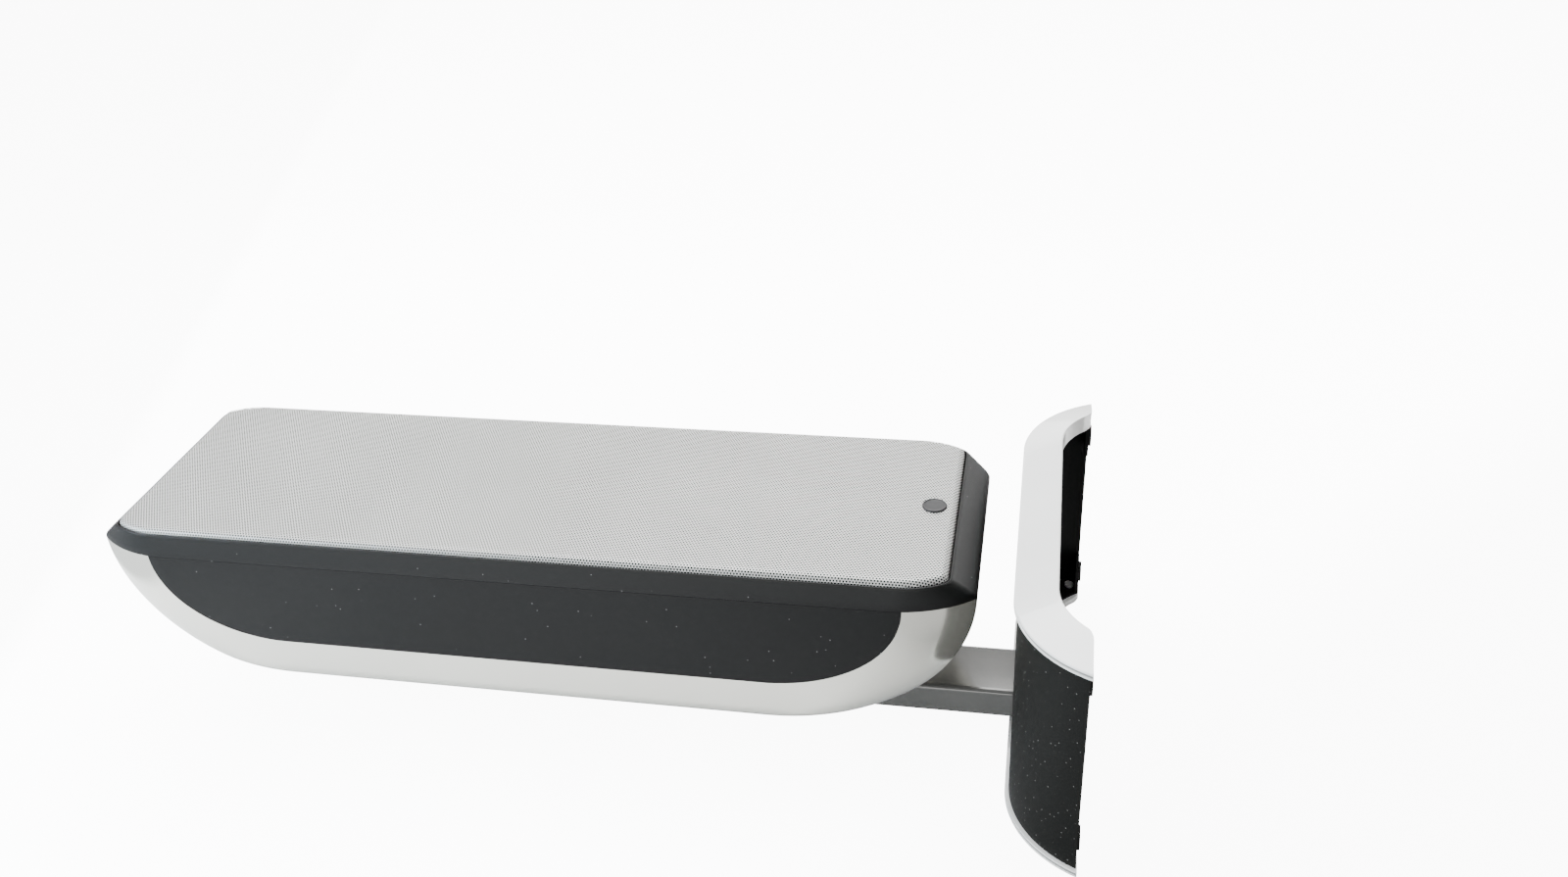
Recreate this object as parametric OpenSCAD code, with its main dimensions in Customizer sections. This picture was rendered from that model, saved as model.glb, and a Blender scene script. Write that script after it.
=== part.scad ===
// Slim loudspeaker with a table stand, lying on its back with the grille facing up.
// X runs along the cabinet towards the foot, Y across it, Z up out of the grille.
// The origin is the middle of the surface that the arm and the foot lie on.

/* [Cabinet] */
// Length of the cabinet over its bezel
cab_len = 712; // [680:1:800]
// Width of the cabinet over its side panels
cab_w = 221; // [217:1:260]
// Depth from the face of the grille to the flat back
cab_depth = 137; // [130:1:170]
// Wall of the rear shell
shell_wall = 5; // [4:0.5:7]
// Run of the shell's curved ends along the length
end_run = 123; // [110:1:150]
// Radius of the long sides where they curve in towards the ends
side_curve = 98; // [80:1:120]
// Turn of that curve in degrees before the end cuts it square
side_turn = 39.5; // [34:0.5:45]
// Radius of the corner between curve and end
corner_r = 6; // [5.5:0.5:10]
// Radius between the shell's sides and its back
back_round = 14; // [10:1:20]
// Drop from the face of the grille to the seam of bezel and shell
seam_drop = 22.5; // [20:0.5:26]

/* [Side panels] */
// Height of a side panel below the seam
panel_h = 75; // [55:1:80]
// Run of a side panel's curved ends
panel_end_run = 106; // [70:1:120]
// Distance of a side panel's upper corners from the cabinet's ends
panel_inset = 53; // [45:1:70]
// Thickness of a side panel
panel_t = 2.5; // [2:0.1:3]
// Diameter of the pins that hold a side panel
panel_pin_d = 4; // [3:0.5:5]
// Gap round a side panel and other set-in pieces
fit_gap = 0.3; // [0.2:0.05:0.5]

/* [Bezel and baffle] */
// Width of the bezel beside the grille at the long sides
lip_side = 6; // [4:0.5:8]
// Run of the sloping bezel beyond the grille at the ends
lip_end = 21; // [16:1:30]
// Drop from the face of the grille to the bezel's upper edge
lip_drop = 4; // [3:0.5:8]
// Wall of the bezel at its upper edge
lip_t = 1.4; // [1:0.1:2]
// Height of the upright land at the foot of the bezel
bezel_land = 2.5; // [1.5:0.5:4]
// Drop from the face of the grille to the baffle
baffle_drop = 17; // [16:0.5:20]
// Thickness of the baffle board
baffle_t = 10; // [8:1:14]
// Diameter of the baffle screws
baffle_screw_d = 4; // [3:0.5:5]
// Depth of the shell's screw bosses
boss_h = 30; // [20:1:40]

/* [Grille] */
// Radius of the grille's long edges where they curve in towards the ends
grille_curve = 62; // [50:1:80]
// Turn of that curve in degrees before the grille's corner
grille_turn = 32; // [27:0.5:38]
// Corner radius of the grille
grille_r = 8; // [7:0.5:12]
// Thickness of the grille's sheet
grille_t = 1; // [0.8:0.1:1.4]
// Outer radius of the bend at the grille's edge
grille_bend = 5; // [3:0.5:6]
// Depth of the grille's bent edge
grille_skirt = 11; // [8:0.5:13]
// Gap between the grille and its pocket
grille_gap = 1.2; // [0.8:0.1:2]
// Diameter of the badge disc
badge_d = 19; // [14:1:24]
// Thickness of the badge disc
badge_t = 1.5; // [1:0.1:2]
// Distance of the badge's centre from the grille's edge
badge_inset = 17.5; // [14:0.5:40]
// Diameter of a grille peg
peg_d = 6; // [5:0.5:7]
// Depth of a peg in its rubber socket
peg_depth = 7; // [5:0.5:8]
// Wall of a rubber peg socket
socket_wall = 1.5; // [1:0.1:2]

/* [Woofers] */
// Distance between the woofers' centres
woofer_pitch = 400; // [330:5:420]
// Diameter of a woofer's frame
woofer_d = 166; // [160:1:172]
// Diameter of the baffle's woofer cut-out
woofer_cut_d = 142; // [141:0.5:144]
// Diameter of a cone with its glue rim
cone_d = 116; // [110:1:118]
// Diameter of the voice coil's former
former_d = 38; // [34:0.5:40]
// Depth from the baffle to the basket's floor
basket_depth = 45; // [42:1:50]
// Diameter of a woofer's magnet
magnet_d = 100; // [90:1:110]
// Thickness of a woofer's magnet
magnet_t = 18; // [14:1:20]

/* [Tweeter] */
// Diameter of the tweeter's faceplate
tweeter_d = 104; // [98:1:120]
// Diameter of the tweeter's dome
dome_d = 26; // [20:1:28]
// Diameter of the tweeter's motor
tweeter_motor_d = 72; // [60:1:76]

/* [Terminals] */
// Length of the terminal cup's flange
cup_l = 90; // [86:1:110]
// Width of the terminal cup's flange
cup_w = 62; // [56:1:80]
// Depth of the terminal recess
cup_depth = 16; // [15:0.5:22]
// Distance of the terminal cup from the cabinet's middle
cup_x = 150; // [140:1:170]
// Distance between the two terminals
post_pitch = 38; // [34:0.5:44]
// Diameter of a terminal stud
stud_d = 6.4; // [6:0.1:7]
// Bore of a terminal stud for a 4 mm plug
plug_bore_d = 4.1; // [4:0.05:4.2]
// Diameter of a thumb nut
knob_d = 14; // [12:0.5:16]
// Length of a thumb nut
knob_l = 9.4; // [8:0.1:10]
// Radial clearance of thumb nut and collar on the stud
stud_clear = 0.1; // [0.06:0.01:0.15]

/* [Stand] */
// Gap between the cabinet and the foot
stand_gap = 29; // [20:0.5:60]
// Width of the arm
arm_w = 59; // [50:1:66]
// Thickness of the arm
arm_t = 26.5; // [20:0.5:28]
// Wall of the arm
arm_wall = 2.5; // [2:0.5:3.5]
// Corner radius of the arm
arm_r = 4; // [3:0.5:6]
// Height of the arm above the surface it lies on
arm_lift = 9; // [7:0.5:12]
// Reach of the arm behind the cabinet, from the cabinet's foot end
arm_reach = 396; // [360:1:420]
// Height of the hat bracket between arm and cabinet
bracket_h = 16.5; // [12:0.5:20]
// Length of the hat bracket
bracket_l = 160; // [140:1:180]
// Sheet thickness of the hat bracket
bracket_t = 3; // [2:0.5:4]
// Width of the hat bracket's flanges
bracket_flange = 22; // [18:1:28]
// Diameter of the bracket and arm screws
stand_screw_d = 5; // [4:0.5:6]

/* [Foot] */
// Height of the arch over the floor edge
foot_h = 51.5; // [48:0.5:60]
// Width of the arch's straight spine
spine_w = 206; // [180:1:260]
// Outer radius of the arch's shoulders
arch_r = 89; // [80:1:96]
// Wall of the arch
arch_wall = 4; // [3:0.5:5]
// Depth of the arch between its trims
arch_depth = 174; // [140:1:200]
// Width of the arch's inner flanges
flange_w = 24; // [23:1:25]
// Thickness of the arch's inner flanges and lugs
flange_t = 3; // [2:0.5:4]
// Width of the silver trims
trim_w = 31; // [29:0.5:33]
// Overhang of the trims past the arch
trim_over = 3; // [1:0.5:4]
// Height of the front trim at its outer rim
rim_t = 5; // [4:0.5:8]
// Height of the front trim at its inner edge
crown_t = 15; // [12:0.5:18]
// Thickness of the rear trim
rear_t = 5.5; // [5:0.1:5.5]
// Depth of the shadow line round a trim's rim
rim_groove = 0.8; // [0.4:0.1:1.2]
// Diameter of a rubber foot pad
pad_d = 18; // [14:1:20]
// Height of a foot pad past the floor edge
pad_proud = 1; // [0.5:0.1:2]
// Diameter of the bolts through the arch into the arm
foot_bolt_d = 6; // [5:0.5:6]
// Diameter of the trim screws
trim_screw_d = 4; // [3:0.5:4]

/* [Hidden] */
$fn = 64;

silver = [0.80, 0.80, 0.78];
champagne = [0.77, 0.76, 0.71];
charcoal = [0.16, 0.17, 0.17];
black = [0.08, 0.08, 0.08];
steel = [0.62, 0.62, 0.64];
ferrite = [0.22, 0.22, 0.24];
brass = [0.80, 0.66, 0.30];

// Heights above the surface that the stand lies on
arm_top = arm_lift + arm_t;
z_back = arm_top + bracket_h;
z_face = z_back + cab_depth;
z_seam = z_face - seam_drop;
z_baffle = z_face - baffle_drop;
z_board = z_baffle - baffle_t;
z_lip = z_face - lip_drop;
shell_h = z_seam - z_back;
z_front = rear_t + arch_depth;

// Places along the length
total_len = cab_len + stand_gap + foot_h + pad_proud;
x_cab = (cab_len - total_len) / 2;
x_arch = x_cab + cab_len / 2 + stand_gap;
x_floor = x_arch + foot_h;
x_arc = x_arch + arch_r;
x_arm = x_cab + cab_len / 2 - arm_reach;
spine_half = spine_w / 2;

// Shapes shared by several pieces
over = 1;
hole_clear = 0.1;
corner_steps = 4;
curve_steps = 6;
shell_steps = 14;
arc_steps = 14;

// Plan with long sides that curve in and square ends: half sizes, curve, its turn and corner radius
cab_form = [cab_len / 2, cab_w / 2, side_curve, side_turn, corner_r];
grille_form = [cab_len / 2 - lip_end, cab_w / 2 - lip_side, grille_curve, grille_turn, grille_r];

// Centres of such a plan's corner and of its side curve, where x and y are positive
function corner_c(form) =
  [form[0] - form[4], form[1] - form[2] + (form[2] - form[4]) * cos(form[3])];
function curve_c(form) =
  [form[0] - form[4] - (form[2] - form[4]) * sin(form[3]), form[1] - form[2]];

function polar(c, r, t) = c + r * [cos(t), sin(t)];
function flip(outline, sx, sy) = [for (p = outline) [sx * p[0], sy * p[1]]];
function reverse(outline) = [for (i = [len(outline) - 1 : -1 : 0]) outline[i]];

// Points of the plan grown by a distance, counter-clockwise
function plan(form, grow) =
  let (
    turn = form[3],
    rest = 90 - turn,
    corner = [for (i = [0 : corner_steps]) polar(corner_c(form), form[4] + grow, rest * i / corner_steps)],
    side = [for (i = [1 : curve_steps]) polar(curve_c(form), form[2] + grow, rest + turn * i / curve_steps)],
    quarter = concat(corner, side)
  )
    concat(quarter, reverse(flip(quarter, -1, 1)), flip(quarter, -1, -1), reverse(flip(quarter, 1, -1)));

function ring(outline, z) = [for (p = outline) [p[0], p[1], z]];

// Solid skinned over rings of equal length, from the lowest to the highest
module loft(rings) {
  m = len(rings[0]);
  n = len(rings);
  sides = [
    for (k = [0 : n - 2]) for (i = [0 : m - 1])
      let (a = k * m + i, b = k * m + (i + 1) % m, c = b + m, d = a + m) each [[a, d, c], [a, c, b]]
  ];
  caps = [[for (i = [0 : m - 1]) i], [for (i = [m - 1 : -1 : 0]) (n - 1) * m + i]];
  polyhedron([for (r = rings) each r], concat(sides, caps));
}

module in_quarters() {
  for (mx = [0, 1], my = [0, 1]) mirror([mx, 0, 0]) mirror([0, my, 0]) children();
}

// The same plan as a plane figure of true arcs
module barrel(form, grow) {
  corner = corner_c(form);
  curve = curve_c(form);
  half_w = form[1] + grow;
  curve_r = form[2] + grow;
  in_quarters() {
    square([curve[0], half_w]);
    square([form[0] + grow, corner[1]]);
    translate(corner) circle(form[4] + grow);
    intersection() {
      translate(curve) circle(curve_r);
      translate([curve[0], 0]) square([curve_r * sin(form[3]), half_w]);
    }
  }
}

// Sweeps a profile round that plan; the profile's x is measured from the corner's centre
module sweep_barrel(form) {
  corner = corner_c(form);
  curve = curve_c(form);
  turn = form[3];
  in_quarters() {
    translate(corner) {
      rotate_extrude(angle = 90 - turn) children();
      rotate([90, 0, 0]) linear_extrude(corner[1]) children();
    }
    translate(curve) mirror([1, 0, 0]) rotate([0, 0, 90])
      rotate_extrude(angle = turn) translate([form[2] - form[4], 0]) children();
    mirror([1, 0, 0]) rotate([0, 0, 90]) translate([form[1] - form[4], curve[0]]) rotate([90, 0, 0])
      linear_extrude(curve[0]) children();
  }
}

// Rectangle with round corners, from its half sizes
module round_rect(half_l, half_w, r) {
  square([2 * half_l, 2 * (half_w - r)], center = true);
  square([2 * (half_l - r), 2 * half_w], center = true);
  for (sx = [-1, 1], sy = [-1, 1])
    translate([sx * (half_l - r), sy * (half_w - r)]) circle(r);
}

// Screw along +Z with its head's seat at z = 0 and its head above
module screw(d, l, head_d, head_h) {
  translate([0, 0, -l]) cylinder(d = d, h = l + head_h / 2);
  cylinder(d = head_d, h = head_h);
}

module in_cabinet() {
  translate([x_cab, 0, 0]) children();
}

// Rear shell: half-length, half-width and height of a ring at a turn of the curved end
function shell_ring(turn, inset) =
  let (
    a = cab_len / 2 - end_run + (end_run - inset) * cos(turn),
    z = z_seam - (shell_h - inset) * sin(turn),
    r = back_round - inset,
    rise = min(r, z - z_back - inset),
    b = cab_w / 2 - back_round + sqrt(max(0, r * r - (r - rise) * (r - rise)))
  )
    ring(plan([a + inset, b + inset, side_curve, side_turn, corner_r], -inset), z);

function shell_rings(inset) = [for (k = [shell_steps : -1 : 0]) shell_ring(90 * k / shell_steps, inset)];

// Everything inside the shell's surface by a distance, open past the seam
module shell_core(inset) {
  loft(concat(shell_rings(inset), [ring(plan(cab_form, -inset), z_seam + over)]));
}

// Screws round the baffle, in the pocket of the grille
screw_edge = 7;
baffle_screw_y = cab_w / 2 - lip_side - grille_gap - screw_edge;
baffle_screw_x = [-0.40, -0.14, 0.14, 0.40] * cab_len;
boss_d = 12;
boss_floor = 4;
rib_t = 5;
baffle_head_d = 7;
baffle_head_h = 2.4;
baffle_bite = 14;
baffle_spots = [for (x = baffle_screw_x, s = [-1, 1]) [x, s * baffle_screw_y]];

// Pins of the side panels
pin_x = [-0.28, 0, 0.28] * cab_len;
pin_z = z_seam - panel_h / 2;
pin_reach = 2;
pin_l = shell_wall - panel_t + pin_reach;

// Screws of the hat bracket and of the crossover board on the back
bracket_set = 20;
bracket_end = 18;
bracket_x = x_arm + bracket_set + bracket_l / 2;
bracket_y = arm_w / 2 + bracket_t + bracket_flange / 2;
bracket_spots = [for (sx = [-1, 1], sy = [-1, 1])
  [bracket_x + sx * (bracket_l / 2 - bracket_end), sy * bracket_y]];
back_boss_d = 14;
back_boss_h = 8;
screw_spare = 3;
bracket_screw_l = bracket_t + shell_wall + back_boss_h - screw_spare;
board_l = 120;
board_w = 62;
board_t = 1.6;
standoff_h = 12;
standoff_d = 7;
board_set = 10;
board_edge = 6;
board_x = x_cab - board_set;
board_spots = [for (sx = [-1, 1], sy = [-1, 1])
  [board_x + sx * (board_l / 2 - board_edge), sy * (board_w / 2 - board_edge)]];

// Terminal cup
cup_wall = 2;
cup_flange_t = 2;
cup_r = 6;
cup_rim = 7;
cup_body_l = cup_l / 2 - cup_rim;
cup_body_w = cup_w / 2 - cup_rim;
cup_centre = x_cab - cup_x;
cup_screw_d = 3;
cup_spots = [for (sx = [-1, 1], sy = [-1, 1])
  [cup_centre + sx * (cup_l / 2 - cup_rim / 2), sy * (cup_w / 2 - cup_rim / 2)]];
z_cup = z_back + cup_depth;

module panel_outline(grow) {
  half = cab_len / 2 - panel_inset;
  function edge(s) = [
    for (i = [0 : arc_steps]) let (t = 90 * i / arc_steps)
      [s * (half - panel_end_run + (panel_end_run + grow) * cos(t)), z_seam - (panel_h + grow) * sin(t)]
  ];
  right = edge(1);
  left = edge(-1);
  polygon(concat(right, [for (i = [arc_steps : -1 : 0]) left[i]]));
}

// Block with a side panel's outline, through the shell's skin
module panel_block(s, grow) {
  depth = cab_w / 4;
  y = s * (cab_w / 2 + over - depth / 2) + depth / 2;
  translate([0, y, 0]) rotate([90, 0, 0]) linear_extrude(depth) panel_outline(grow);
}

module panel_pins(s, d, l) {
  for (x = pin_x)
    translate([x, s * (cab_w / 2 - panel_t), pin_z]) rotate([s * 90, 0, 0]) cylinder(d = d, h = l);
}

// Champagne tub with recessed sides, open at the seam
module rear_shell() {
  color(champagne) difference() {
    union() {
      in_cabinet() difference() {
        loft(shell_rings(0));
        shell_core(shell_wall);
      }
      intersection() {
        in_cabinet() loft(shell_rings(shell_wall / 2));
        union() {
          for (p = baffle_spots)
            translate([x_cab + p[0], p[1], z_board - boss_h]) {
              cylinder(d = boss_d, h = boss_h);
              translate([-rib_t / 2, p[1] < 0 ? -boss_d : 0, 0]) cube([rib_t, boss_d, boss_h]);
            }
          for (p = bracket_spots)
            translate([p[0], p[1], z_back]) cylinder(d = back_boss_d, h = shell_wall + back_boss_h);
        }
      }
    }
    in_cabinet() for (s = [-1, 1]) {
      difference() {
        panel_block(s, fit_gap);
        shell_core(panel_t);
      }
      panel_pins(s, panel_pin_d + 2 * hole_clear, 2 * shell_wall);
    }
    for (p = baffle_spots)
      translate([x_cab + p[0], p[1], z_board - boss_h + boss_floor])
        cylinder(d = baffle_screw_d + 2 * hole_clear, h = boss_h);
    for (p = bracket_spots)
      translate([p[0], p[1], z_back - over])
        cylinder(d = stand_screw_d + 2 * hole_clear, h = over + bracket_screw_l - bracket_t + 1);
    for (p = cup_spots)
      translate([p[0], p[1], z_back - over])
        cylinder(d = cup_screw_d + 2 * hole_clear, h = shell_wall + 2 * over);
    translate([cup_centre, 0, z_back - over]) linear_extrude(shell_wall + 2 * over)
      round_rect(cup_body_l + fit_gap, cup_body_w + fit_gap, cup_r + fit_gap);
  }
}

// Black boat-shaped panel that follows the shell's curve, with three pins on its back
module side_panel(s) {
  color(charcoal) in_cabinet() {
    difference() {
      intersection() {
        loft(shell_rings(0));
        panel_block(s, 0);
      }
      shell_core(panel_t);
    }
    panel_pins(s, panel_pin_d, pin_l);
  }
}

module side_panel_left() {
  side_panel(-1);
}

module side_panel_right() {
  side_panel(1);
}

// Grille, its pocket and its pegs
grille_half_l = grille_form[0];
grille_half_w = grille_form[1];
peg_edge = 4;
peg_end_inset = 14;
peg_end_share = 0.6;
peg_x = (baffle_screw_x[2] + baffle_screw_x[3]) / 2;
peg_y = grille_half_w - grille_t - peg_d / 2 - socket_wall - peg_edge;
peg_end = [grille_half_l - peg_end_inset, peg_y * peg_end_share];
peg_spots = [for (p = [[peg_x, peg_y], peg_end], sx = [-1, 1], sy = [-1, 1]) [sx * p[0], sy * p[1]]];
socket_d = peg_d + 2 * fit_gap + 2 * socket_wall;

woofer_x = [-woofer_pitch / 2, woofer_pitch / 2];

// Places of drive-unit screws, from the unit's centre
woofer_screw_edge = 5;
tweeter_screw_edge = 7;
woofer_screw_r = woofer_d / 2 - woofer_screw_edge;
tweeter_screw_r = tweeter_d / 2 - tweeter_screw_edge;
woofer_spots = [for (i = [0 : 3]) woofer_screw_r * [cos(45 + 90 * i), sin(45 + 90 * i)]];
tweeter_spots = [for (i = [0 : 3]) tweeter_screw_r * [cos(45 + 90 * i), sin(45 + 90 * i)]];
driver_screw_d = 4;
driver_screw_l = 14;
driver_head_d = 8;
driver_head_h = 2.6;
tweeter_screw_l = 12;
motor_clear = 1.3;
tweeter_head_d = 7;
tweeter_head_h = 2.2;

module at_woofers() {
  for (x = woofer_x) translate([x_cab + x, 0, z_baffle]) children();
}

module at_tweeter() {
  translate([x_cab, 0, z_baffle]) children();
}

// Bezel and baffle board in one moulding, seated on the shell's rim
module front_baffle() {
  foot_plan = plan(cab_form, 0);
  top_plan = plan(grille_form, grille_gap + lip_t);
  spigot = plan(cab_form, -shell_wall - fit_gap);
  color(charcoal) difference() {
    in_cabinet() difference() {
      union() {
        loft([ring(foot_plan, z_seam), ring(foot_plan, z_seam + bezel_land), ring(top_plan, z_lip)]);
        translate([0, 0, z_board]) linear_extrude(z_seam - z_board + over) polygon(spigot);
      }
      translate([0, 0, z_baffle]) linear_extrude(lip_drop + baffle_drop) barrel(grille_form, grille_gap);
      for (p = baffle_spots)
        translate([p[0], p[1], z_board - over])
          cylinder(d = baffle_screw_d + 2 * hole_clear, h = baffle_t + 2 * over);
      for (p = peg_spots)
        translate([p[0], p[1], z_board - over]) cylinder(d = socket_d, h = baffle_t + 2 * over);
    }
    at_woofers() {
      translate([0, 0, -baffle_t - over]) cylinder(d = woofer_cut_d, h = baffle_t + 2 * over);
      for (p = woofer_spots)
        translate([p[0], p[1], -baffle_t - over])
          cylinder(d = driver_screw_d + 2 * hole_clear, h = baffle_t + 2 * over);
    }
    at_tweeter() {
      translate([0, 0, -baffle_t - over])
        cylinder(d = tweeter_motor_d + 2 * motor_clear, h = baffle_t + 2 * over);
      for (p = tweeter_spots)
        translate([p[0], p[1], -baffle_t - over])
          cylinder(d = driver_screw_d + 2 * hole_clear, h = baffle_t + 2 * over);
    }
  }
}

// Pan-head screws from the baffle into the shell's bosses
module baffle_screws() {
  color(black) in_cabinet() for (p = baffle_spots)
    translate([p[0], p[1], z_baffle])
      screw(baffle_screw_d, baffle_t + baffle_bite, baffle_head_d, baffle_head_h);
}

// Formed sheet with a bent-down edge all round
module grille() {
  bend_in = grille_bend - grille_t;
  c = grille_r - grille_bend;
  z_bend = z_face - grille_bend;
  function bend(r, i) = [c + r * sin(90 * i / arc_steps), z_bend + r * cos(90 * i / arc_steps)];
  color(silver) in_cabinet() {
    sweep_barrel(grille_form)
      polygon(concat([for (i = [0 : arc_steps]) bend(grille_bend, i)],
                     [[grille_r, z_face - grille_skirt], [grille_r - grille_t, z_face - grille_skirt]],
                     [for (i = [arc_steps : -1 : 0]) bend(bend_in, i)]));
    translate([0, 0, z_face - grille_t]) linear_extrude(grille_t) barrel(grille_form, -grille_bend);
  }
}

// Plain disc with a soft edge on the grille's foot end
module grille_badge() {
  edge = badge_t / 3;
  r = badge_d / 2;
  color(charcoal) in_cabinet() translate([grille_half_l - badge_inset, 0, z_face])
    rotate_extrude() polygon([[0, 0], [r, 0], [r, badge_t - edge], [r - edge, badge_t], [0, badge_t]]);
}

// Pegs on the back of the grille, with rounded tips
module grille_pegs() {
  l = baffle_drop - grille_t + peg_depth;
  color(charcoal) in_cabinet() for (p = peg_spots)
    translate([p[0], p[1], z_face - grille_t - l]) {
      translate([0, 0, peg_d / 2]) cylinder(d = peg_d, h = l - peg_d / 2);
      translate([0, 0, peg_d / 2]) sphere(d = peg_d);
    }
}

// Rubber cups in the baffle that grip the pegs
module grille_sockets() {
  color(black) in_cabinet() for (p = peg_spots)
    translate([p[0], p[1], z_baffle - baffle_t]) difference() {
      cylinder(d = socket_d, h = baffle_t);
      translate([0, 0, baffle_t - peg_depth - fit_gap])
        cylinder(d = peg_d + 2 * fit_gap, h = peg_depth + fit_gap + over);
    }
}

// Woofer sizes, with z = 0 at the baffle's face
gasket_t = 1;
flange_thick = 4;
flange_top = gasket_t + flange_thick;
basket_wall = 2.2;
cut_clear = 0.5;
floor_run = 27;
basket_top_r = woofer_cut_d / 2 - cut_clear;
basket_floor_r = former_d / 2 + floor_run;
cone_r = cone_d / 2;
roll_edge = 1.5;
roll_r = (basket_top_r - roll_edge - cone_r) / 2;
rim_w = 4.6;
rim_drop = 1.2;
surround_t = 1;
surround_set = 0.4;
surround_lip = 3;
neck_z = -22;
cone_t = 1.4;
former_t = 0.6;
winding_t = 0.6;
plate_t = 6;
plate_set = 5;
gap_out = 1.3;
gap_in = 0.8;
plate_bore_r = former_d / 2 + gap_out;
plate_r = magnet_d / 2 - plate_set;
pole_r = former_d / 2 - former_t - gap_in;
plate_top = -basket_depth;
magnet_top = plate_top - plate_t;
yoke_top = magnet_top - magnet_t;
winding_l = 14;
winding_mid = plate_top - plate_t / 2;
ledge_z = -30;
ledge_run = 21;
ledge_w = 3;
ledge_t = 2.5;
floor_t = 3;
weld = 0.5;
ledge_in_r = former_d / 2 + ledge_run;
spider_out_r = ledge_in_r + ledge_w;
spider_t = 0.8;
spider_wave = 1.2;
spider_waves = 4;
glue = 0.05;
cap_rim = 5;
cap_rise = 9;
cap_skin = 0.8;
window_count = 6;
window_w = 38;
window_top = 6;
window_low = 6;
window_in = 8;

// Foam rings under the woofer frames
module woofer_gaskets() {
  color(black) at_woofers() difference() {
    cylinder(r = woofer_screw_r - driver_screw_d, h = gasket_t);
    translate([0, 0, -over]) cylinder(d = woofer_cut_d + 2 * cut_clear, h = gasket_t + 2 * over);
  }
}

// Basket with a flange, a spoked cone, a spider ledge and a floor for the motor
module woofer_baskets() {
  wall_dr = basket_top_r - basket_floor_r;
  wall_dz = gasket_t + basket_depth;
  function wall_r(z) = basket_floor_r + wall_dr * (z + basket_depth) / wall_dz;
  window_h = -ledge_z - window_top - window_low;
  ledge_low = ledge_z - ledge_t;
  floor_z = -basket_depth;
  color(black) at_woofers() difference() {
    rotate_extrude() {
      polygon([[basket_top_r - basket_wall, gasket_t], [woofer_d / 2, gasket_t],
               [woofer_d / 2, flange_top], [basket_top_r - basket_wall, flange_top]]);
      polygon([[basket_top_r, gasket_t], [basket_floor_r, -basket_depth],
               [basket_floor_r - basket_wall, -basket_depth], [basket_top_r - basket_wall, gasket_t]]);
      polygon([[ledge_in_r, ledge_low], [wall_r(ledge_low) - weld, ledge_low],
               [wall_r(ledge_z) - weld, ledge_z], [ledge_in_r, ledge_z]]);
      polygon([[plate_bore_r + 1, floor_z], [basket_floor_r - weld, floor_z],
               [basket_floor_r - weld, floor_z + floor_t], [plate_bore_r + 1, floor_z + floor_t]]);
    }
    for (i = [0 : window_count - 1])
      rotate([0, 0, 360 * (i + 0.5) / window_count])
        translate([basket_floor_r - window_in, -window_w / 2, -window_top - window_h])
          cube([basket_top_r, window_w, window_h]);
    for (p = woofer_spots)
      translate([p[0], p[1], -over])
        cylinder(d = driver_screw_d + 2 * hole_clear, h = flange_top + 2 * over);
  }
}

// Steel plates that close the magnetic gap in front
module woofer_front_plates() {
  color(steel) at_woofers() translate([0, 0, magnet_top]) difference() {
    cylinder(r = plate_r, h = plate_t);
    translate([0, 0, -over]) cylinder(r = plate_bore_r, h = plate_t + 2 * over);
  }
}

// Ferrite rings
module woofer_magnets() {
  color(ferrite) at_woofers() translate([0, 0, yoke_top]) difference() {
    cylinder(d = magnet_d, h = magnet_t);
    translate([0, 0, -over]) cylinder(r = plate_bore_r + plate_set, h = magnet_t + 2 * over);
  }
}

// Back plates with their pole pieces
module woofer_yokes() {
  edge = 2;
  low = yoke_top - plate_t;
  color(steel) at_woofers() rotate_extrude()
    polygon([[0, low], [plate_r - edge, low], [plate_r, low + edge], [plate_r, yoke_top],
             [pole_r, yoke_top], [pole_r, plate_top], [0, plate_top]]);
}

// Pan-head screws through the frames into the baffle
module woofer_screws() {
  color(black) at_woofers() for (p = woofer_spots)
    translate([p[0], p[1], flange_top])
      screw(driver_screw_d, driver_screw_l, driver_head_d, driver_head_h);
}

module at_woofer(i) {
  translate([x_cab + woofer_x[i], 0, z_baffle]) children();
}

// Paper-thin cone with a flat glue rim
module cone(i) {
  neck = former_d / 2 + glue;
  rim_in = cone_r - rim_w;
  rim_bend = rim_drop / 2;
  color(black) at_woofer(i) rotate_extrude()
    polygon([[neck, neck_z], [rim_in + rim_bend, flange_top - rim_drop], [cone_r, flange_top - rim_drop],
             [cone_r, flange_top], [rim_in, flange_top], [neck, neck_z + cone_t]]);
}

// Domed cap glued over the cone's neck
module dust_cap(i) {
  base_r = former_d / 2 + cap_rim;
  neck = former_d / 2 + glue;
  slope = (flange_top - neck_z - cone_t) / (cone_r - rim_w - neck);
  base_z = neck_z + cone_t + (base_r - neck) * slope;
  ball = (base_r * base_r + cap_rise * cap_rise) / (2 * cap_rise);
  half = asin(base_r / ball);
  function cap(r) = [for (k = [0 : arc_steps]) let (t = half * k / arc_steps)
    [r * sin(t), base_z + cap_rise - ball + r * cos(t)]];
  outer = cap(ball);
  inner = cap(ball - cap_skin);
  color(charcoal) at_woofer(i) rotate_extrude()
    polygon(concat(outer, [[inner[arc_steps][0], base_z]],
                   [for (k = [arc_steps - 1 : -1 : 0]) inner[k]]));
}

// Former with its copper winding in the gap
module voice_coil(i) {
  r = former_d / 2;
  low = winding_mid - winding_l / 2;
  color(brass) at_woofer(i) rotate_extrude()
    polygon([[r - former_t, low], [r + winding_t, low], [r + winding_t, low + winding_l],
             [r, low + winding_l], [r, neck_z + cone_t], [r - former_t, neck_z + cone_t]]);
}

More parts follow.
